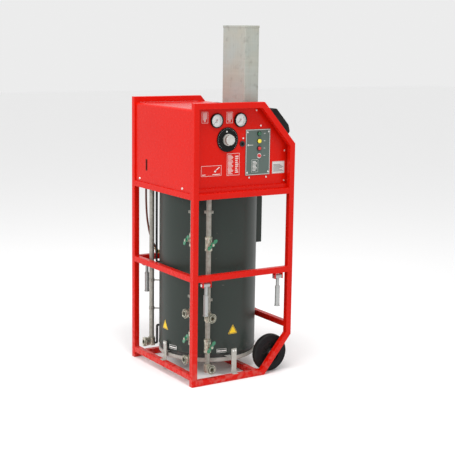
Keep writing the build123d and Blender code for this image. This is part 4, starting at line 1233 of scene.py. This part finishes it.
# ---------------------------------------------------------------- boiler
@dataclass
class Boiler:
    """Rolled beads, a lock seam and rivets on the jacket, print on its plates, and a light coil inside."""

    TRIANGLE: ClassVar[tuple[tuple[float, float], ...]] = (
        (-27 * MM, 261 * MM), (27 * MM, 261 * MM), (0.0, 308 * MM))
    PLATE: ClassVar[tuple[tuple[float, float], ...]] = (
        (-30 * MM, 148 * MM), (30 * MM, 148 * MM), (30 * MM, 170 * MM), (-30 * MM, 170 * MM))
    PLATE_BARS: ClassVar[tuple[tuple[float, float], ...]] = (
        (-16 * MM, 16 * MM), (6 * MM, 10 * MM), (22 * MM, 8 * MM))

    triangle_ways: tuple[float, float] = (-math.pi / 2, math.pi)
    plate_ways: tuple[float, float] = (math.radians(-104), math.radians(-165))
    bar_level: float = 158 * MM
    bead: float = 2.2 * MM
    seam_angle: float = math.radians(52)
    rivets: int = 9
    rivet_pitch: float = 104 * MM
    plate_radius: float = 0.2988
    coil_radius: float = 215 * MM
    coil_tube: float = 12 * MM
    coil_pitch: float = 70 * MM
    coil_turns: int = 10

    def jacket(self) -> None:
        """Two rolled beads, and a lock seam with its rivets."""
        low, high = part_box("boiler_jacket")
        centre, radius = (low + high) / 2, (high.x - low.x) / 2
        beads = [ring((centre.x, centre.y, z), radius, self.bead, UP, 160, 1.6)
                 for z in (low.z + 2.8 * MM, high.z - 10 * MM)]
        out = Vector((math.cos(self.seam_angle), math.sin(self.seam_angle), 0))
        seam = slab(centre + out * (radius + 0.8 * MM),
                    (2.6 * MM, 14 * MM, high.z - low.z - 70 * MM), self.seam_angle, "Z")
        beads.append(Workshop.soften(seam, 0.8 * MM))
        rivet = disc(centre + out * (radius + 2.4 * MM), 3.2 * MM, 1.6 * MM, out, 16)
        rivet = Workshop.soften(rivet, 0.6 * MM)
        for i in range(self.rivets):
            rise = (i - self.rivets // 2) * self.rivet_pitch
            beads.append(Workshop.copy(rivet, Matrix.Translation((0, 0, rise))))
        bpy.data.objects.remove(rivet)
        Workshop.deliver(beads, "jacket_beads_and_seam", ROOT, Finishes.BOILER, "boiler_paint")

    def coil(self) -> None:
        """The heating coil as a screwed round section."""
        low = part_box("heating_coil")[0]
        centre = middle_of("heating_coil")
        section = Workshop.start(bpy.ops.mesh.primitive_circle_add, vertices=14, radius=self.coil_tube,
                                 location=(self.coil_radius, 0, low.z + self.coil_tube),
                                 rotation=(math.pi / 2, 0, 0))
        Workshop.modify(section, "SCREW", screw_offset=self.coil_pitch, iterations=self.coil_turns,
                        steps=56, render_steps=56, axis="Z", use_merge_vertices=True)
        section.data.transform(Matrix.Translation((centre.x, centre.y, 0)))
        Workshop.edit(section, None, lambda: bpy.ops.mesh.select_all(action="SELECT"),
                      lambda: bpy.ops.mesh.fill_holes(sides=0))
        coil = Workshop.deliver(section, "light_heating_coil", ROOT, Finishes.PIPE, "pipe_steel")
        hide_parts("heating_coil")

    def wrapped(self, angle: float, start: tuple[float, float], end: tuple[float, float],
                wide: float) -> Piece:
        """A thin printed line bent round the jacket.

        Args:
            angle: the direction that its plate looks in.
            start: the line's start, across the plate and up.
            end: the line's end.
            wide: the line's width.

        Returns:
            The line.
        """
        centre = middle_of("boiler_jacket")
        run = Vector((end[0] - start[0], end[1] - start[1]))
        middle = ((start[0] + end[0]) / 2, (start[1] + end[1]) / 2, 0)
        strip = slab((0, 0, 0), (run.length + wide, wide, 0.2 * MM))
        Workshop.edit(strip, None, lambda: bpy.ops.mesh.subdivide(number_cuts=6))
        strip.data.transform(Matrix.Translation(middle) @ Matrix.Rotation(math.atan2(run.y, run.x), 4, "Z"))
        for vertex in strip.data.vertices:
            across, up, rise = vertex.co
            turn = angle + across / self.plate_radius
            reach = self.plate_radius + 0.1 * MM + rise
            vertex.co = (centre.x + reach * math.cos(turn), centre.y + reach * math.sin(turn), up)
        return strip

    def loop(self, angle: float, corners: Sequence[tuple[float, float]],
             wide: float) -> list[Piece]:
        """A closed printed outline bent round the jacket.

        Args:
            angle: the direction that its plate looks in.
            corners: its corners, across the plate and up.
            wide: the line's width.

        Returns:
            Its sides.
        """
        return [self.wrapped(angle, corner, corners[(i + 1) % len(corners)], wide)
                for i, corner in enumerate(corners)]

    def plate_print(self) -> None:
        """A black edge on each yellow triangle, and a white outline and bars on each rating plate."""
        edges = [side for way in self.triangle_ways for side in self.loop(way, self.TRIANGLE, 2.6 * MM)]
        Workshop.deliver(edges, "triangle_plate_edges", ROOT, Finishes.BLACK_PRINT, "print_white")
        outlines = []
        for way in self.plate_ways:
            outlines += self.loop(way, self.PLATE, 1.8 * MM)
            for across, long in self.PLATE_BARS:
                start, end = (across - long / 2, self.bar_level), (across + long / 2, self.bar_level)
                outlines.append(self.wrapped(way, start, end, 7 * MM))
        Workshop.deliver(outlines, "rating_plate_print", ROOT, Finishes.PRINT, "print_white")

    def build(self) -> None:
        """Dress the jacket and its plates, and replace the heavy coil with a light one."""
        self.jacket()
        self.coil()
        self.plate_print()


# ---------------------------------------------------------------- pipework
@dataclass
class Pipework:
    """Threads, seals and clips on the riser pipes and their fittings."""

    pipe: float = 15 * MM
    thread: float = 1.0 * MM
    thread_pitch: float = 2.2 * MM
    thread_turns: int = 4
    valve_half: float = 39.5 * MM
    tee_half: float = 25.5 * MM
    upper_valve: float = 0.834
    lower_valve: float = 0.222
    outlet: float = 0.397
    left_lift: float = 0.024
    front_mouths: tuple[float, float] = (0.397, 0.086)
    left_mouths: tuple[float, float] = (0.421, 0.143)
    inlet_z: float = 0.128
    band_gap: float = 0.2 * MM
    band_outer: float = 2.4 * MM
    band_half: float = 9 * MM
    ear: tuple[float, float, float] = (4.5 * MM, 11 * MM, 16 * MM)
    ear_reach: float = 6 * MM
    clip_levels: tuple[tuple[str, float, float], ...] = (
        ("front_riser", 1.02, 0.50), ("left_riser", 1.02, 0.52), ("rear_riser", 0.52, 0.34))

    def threads(self) -> None:
        """A few turns of bare thread where each pipe enters a fitting."""
        turns = []
        for node, lift in (("front_riser", 0.0), ("left_riser", self.left_lift)):
            pipe = middle_of(node)
            fittings = ((self.upper_valve + lift, self.valve_half),
                        (self.lower_valve + lift * 2, self.valve_half), (self.outlet + lift, self.tee_half))
            for level, half in fittings:
                for away in (half + k * self.thread_pitch for k in range(self.thread_turns)):
                    for z in (level + away, level - away):
                        turns.append(ring((pipe.x, pipe.y, z), self.pipe, self.thread, UP, 40))
        Workshop.deliver(turns, "pipe_threads", ROOT, Finishes.NICKEL, "valve_nickel")

    def seals(self) -> None:
        """A rubber seal in the mouth of each hose coupling and of the inlet, and bright lips round it."""
        seals, lips = [], []
        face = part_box("hose_couplings")[0]
        x, y = middle_of("front_riser").x, middle_of("left_riser").y
        mouths = [(Vector((x, face.y, z)), FORWARD) for z in self.front_mouths]
        mouths += [(Vector((face.x, y, z)), Vector((-1, 0, 0))) for z in self.left_mouths]
        rings = ((seals, 0.4 * MM, 14.2 * MM, 2.0 * MM, 48, 0.7),
                 (seals, 4.2 * MM, 22.6 * MM, 2.3 * MM, 56, 0.5),
                 (lips, 4.2 * MM, 26.4 * MM, 1.3 * MM, 56, 1.0),
                 (lips, 0.3 * MM, 18.6 * MM, 0.9 * MM, 56, 1.0))
        for place, way in mouths:
            for made, back, radius, thick, sides, flat in rings:
                made.append(ring(place - way * back, radius, thick, way, sides, flat))
        inlet = Vector((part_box("claw_coupling")[0].x + 7 * MM, middle_of("claw_coupling").y, self.inlet_z))
        seals.append(ring(inlet, 16 * MM, 2.2 * MM, (-1, 0, 0), 48, 0.7))
        Workshop.deliver(seals, "coupling_seals", ROOT, Finishes.SEAL, "conduit_black")
        Workshop.deliver(lips, "coupling_lips", ROOT, Finishes.NICKEL, "valve_nickel")

    def clip(self, pipe: Vector) -> list[Piece]:
        """One steel pipe clip: its band, a stud to the boiler's jacket, and two ears with screws.

        Args:
            pipe: the point on the pipe's axis that the clip holds.

        Returns:
            Its pieces.
        """
        low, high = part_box("boiler_jacket")
        radius, boiler = (high.x - low.x) / 2, (low + high) / 2
        way = Vector((boiler.x, boiler.y, pipe.z)) - pipe
        gap = way.length - radius - self.pipe
        way.normalize()
        inner, outer, half = self.pipe + self.band_gap, self.pipe + self.band_outer, self.band_half
        profile = [(inner, -half), (outer, -half), (outer, half), (inner, half)]
        stud = pipe + way * (self.pipe + 2 * MM + (gap - 2 * MM) / 2)
        pieces = [Workshop.soften(lathe(profile, pipe, UP, 48), 0.6 * MM),
                  disc(stud, 4 * MM, gap - 1 * MM, way, 24)]
        for side in (-1, 1):
            across = Vector((-way.y, way.x, 0)) * side
            place = pipe + across * (self.pipe + self.ear_reach)
            ear = slab(place, self.ear, math.atan2(across.x, -across.y), "Z")
            screw = disc(place - way * 3.4 * MM, 3.6 * MM, 3 * MM, way, 6)
            pieces += [Workshop.soften(ear, 0.8 * MM), Workshop.soften(screw, 0.5 * MM)]
        return pieces

    def clips(self) -> None:
        """Two clips on each riser."""
        bands = []
        for node, *levels in self.clip_levels:
            riser = middle_of(node)
            for z in levels:
                bands += self.clip(Vector((riser.x, riser.y, z)))
        Workshop.deliver(bands, "riser_pipe_clips", ROOT, Finishes.PIPE, "pipe_steel")

    def build(self) -> None:
        """Fit threads, seals and clips."""
        self.threads()
        self.seals()
        self.clips()


# ---------------------------------------------------------------- wheels
@dataclass
class Wheel:
    """A solid rubber tyre with ribbed tread and side rings, and a ribbed rim with a hub ring."""

    body: str
    tyre_node: str
    outward: int
    bore: float = 0.070
    tread_ribs: int = 5
    groove: float = 2.0 * MM
    shoulder: float = 11 * MM
    side_rings: tuple[float, ...] = (0.080, 0.090, 0.100)
    rim_ribs: int = 8
    rib_size: tuple[float, float, float] = (5 * MM, 8 * MM, 34 * MM)
    rib_reach: float = 45 * MM
    hub_radius: float = 24 * MM

    def profile(self, half: float, outer: float) -> list[tuple[float, float]]:
        """The tyre's section: grooved tread, round shoulders and ringed sides.

        Args:
            half: half the tyre's width.
            outer: its outer radius.

        Returns:
            Points as distance from the axle and place along it.
        """
        points = [(self.bore, -half + 2 * MM)]
        for radius in self.side_rings:
            points += [(radius - 2 * MM, -half + 1.2 * MM), (radius, -half + 0.1 * MM),
                       (radius + 2 * MM, -half + 1.2 * MM)]
        turn = self.shoulder
        for i in range(6):
            bend = math.pi / 2 * i / 5
            points.append((outer - turn + turn * math.sin(bend), -half + turn - turn * math.cos(bend)))
        flat, floor = half - turn, outer - self.groove
        for i in range(1, self.tread_ribs):
            along = -flat + 2 * flat * i / self.tread_ribs
            points += [(outer, along - 1.0 * MM), (floor, along - 0.5 * MM),
                       (floor, along + 0.5 * MM), (outer, along + 1.0 * MM)]
        mirrored = [(away, -along) for away, along in reversed(points)
                    if along < -flat - 1e-9 or away == self.bore]
        return points + [(outer, flat)] + mirrored

    def build(self) -> None:
        """Turn the tyre, rib the rim and ring the hub."""
        low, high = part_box(self.tyre_node)
        centre = (low + high) / 2
        section = self.profile((high.y - low.y) / 2, (high.z - low.z) / 2)
        tyre = lathe(section, centre, BACK, 120)
        tyre = Workshop.deliver(tyre, f"{self.body}_ribbed_tyre", self.body, Finishes.TYRE, "tyre_rubber", 50)
        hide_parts(self.tyre_node)
        parts = []
        for side in (-1, 1):
            rib = slab(centre + Vector((0, side * 9 * MM, self.rib_reach)), self.rib_size)
            parts += around(Workshop.soften(rib, 1.0 * MM), self.rim_ribs, centre, BACK)
        hub = centre + Vector((0, self.outward * 18.5 * MM, 0))
        parts.append(ring(hub, self.hub_radius, 2.0 * MM, (0, self.outward, 0), 48))
        Workshop.deliver(parts, f"{self.body}_rim_ribs", self.body, Finishes.RIM, "rim_plastic")


# ---------------------------------------------------------------- carrying handles
@dataclass
class CarryingHandle:
    """Rolled bands and an end ring on one fold-down handle."""

    body: str
    node: str
    shoulder: tuple[tuple[float, float], ...] = ((0.539, 13.9 * MM), (0.531, 14.6 * MM))

    def build(self) -> None:
        """Fit rolled bands at the shoulder and the foot of the grip, and a ring round its end."""
        foot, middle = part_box(self.node)[0].z, middle_of(self.node)
        levels = (*self.shoulder, (foot + 11 * MM, 14.7 * MM))
        bands = [ring((middle.x, middle.y, z), radius, 1.2 * MM, UP, 40) for z, radius in levels]
        bands.append(ring((middle.x, middle.y, foot + 0.9 * MM), 16.6 * MM, 1.0 * MM, UP, 40))
        Workshop.deliver(bands, f"{self.body}_bands", self.body, Finishes.HANDLE_GREY, "handle_zinc")


# ---------------------------------------------------------------- studio
@dataclass
class Studio:
    """Pale floor, soft lights and the camera."""

    eye: tuple[float, float, float] = (-3.476, -5.6271, 2.025)
    heading: float = math.radians(32.58)
    pitch: float = math.radians(9.96)
    roll: float = math.radians(0.814)
    view: float = math.radians(23.53)
    pale: Colour = (0.97, 0.97, 0.97)
    backdrop: float = 0.84
    target: Point = (0, 0, 0.9)
    key: tuple[Point, float, float] = ((-4.6, -0.4, 3.6), 1.8, 95)
    top: tuple[Point, float, float] = ((-0.6, -1.6, 5.2), 1.6, 120)

    def floor(self) -> None:
        """A wide pale floor."""
        ground = Workshop.start(bpy.ops.mesh.primitive_plane_add, size=60.0, location=(0, 0, -0.001))
        ground.name = "studio_floor"
        shader = Shader("studio_floor")
        shader.set(Base_Color=self.pale, Roughness=0.95)
        ground.data.materials.append(shader.material)

    def lamp(self, name: str, place: Point, size: float, power: float) -> None:
        """One square soft light aimed at the washer.

        Args:
            name: its name.
            place: where it hangs.
            size: the length of its side.
            power: its power in watts.
        """
        light = bpy.data.lights.new(name, "AREA")
        light.shape, light.size, light.energy = "SQUARE", size, power
        holder = bpy.data.objects.new(name, light)
        bpy.context.scene.collection.objects.link(holder)
        holder.location = place
        holder.rotation_euler = (Vector(self.target) - Vector(place)).to_track_quat("-Z", "Y").to_euler()

    def camera(self) -> None:
        """The camera, from its heading, pitch and roll."""
        flat = Vector((math.sin(self.heading), math.cos(self.heading), 0))
        forward = flat * math.cos(self.pitch) + Vector((0, 0, -math.sin(self.pitch)))
        right = Vector((math.cos(self.heading), -math.sin(self.heading), 0))
        up = right.cross(forward)
        right, up = (right * math.cos(self.roll) + up * math.sin(self.roll),
                     up * math.cos(self.roll) - right * math.sin(self.roll))
        lens = bpy.data.cameras.new("camera")
        lens.sensor_fit, lens.angle = "HORIZONTAL", self.view
        lens.clip_end = 100.0
        eye = bpy.data.objects.new("camera", lens)
        bpy.context.scene.collection.objects.link(eye)
        turn = Matrix((right, up, -forward)).transposed().to_4x4()
        eye.matrix_world = Matrix.Translation(Vector(self.eye)) @ turn
        bpy.context.scene.camera = eye

    def build(self) -> None:
        """Set up the whole studio."""
        world = bpy.data.worlds.new("studio")
        bpy.context.scene.world = world
        world.use_nodes = True
        backdrop = world.node_tree.nodes["Background"]
        backdrop.inputs["Color"].default_value = (1.0, 1.0, 1.0, 1.0)
        backdrop.inputs["Strength"].default_value = self.backdrop
        bpy.context.scene.view_settings.view_transform = "Standard"
        self.floor()
        self.lamp("key_light", *self.key)
        self.lamp("top_light", *self.top)
        self.camera()


# ---------------------------------------------------------------- the whole washer
def main() -> None:
    """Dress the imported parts, build every sub-assembly and light the washer."""
    logging.basicConfig(level=logging.INFO, format="%(name)s: %(message)s")
    Studio().build()
    dress_cad_nodes()
    sub_assemblies = [TubeFrame(), Cabinet(), Boiler(), Pipework(), ControlPanel()]
    sub_assemblies += [Wheel("front_wheel", "front_tyre", -1), Wheel("rear_wheel", "rear_tyre", 1)]
    for place in ("front_left", "front_right", "rear_left", "rear_right"):
        sub_assemblies.append(CarryingHandle(f"{place}_handle", f"{place}_carrying_handle"))
    for part in sub_assemblies:
        part.build()
    Workshop.clear()


if __name__ == "__main__":
    main()
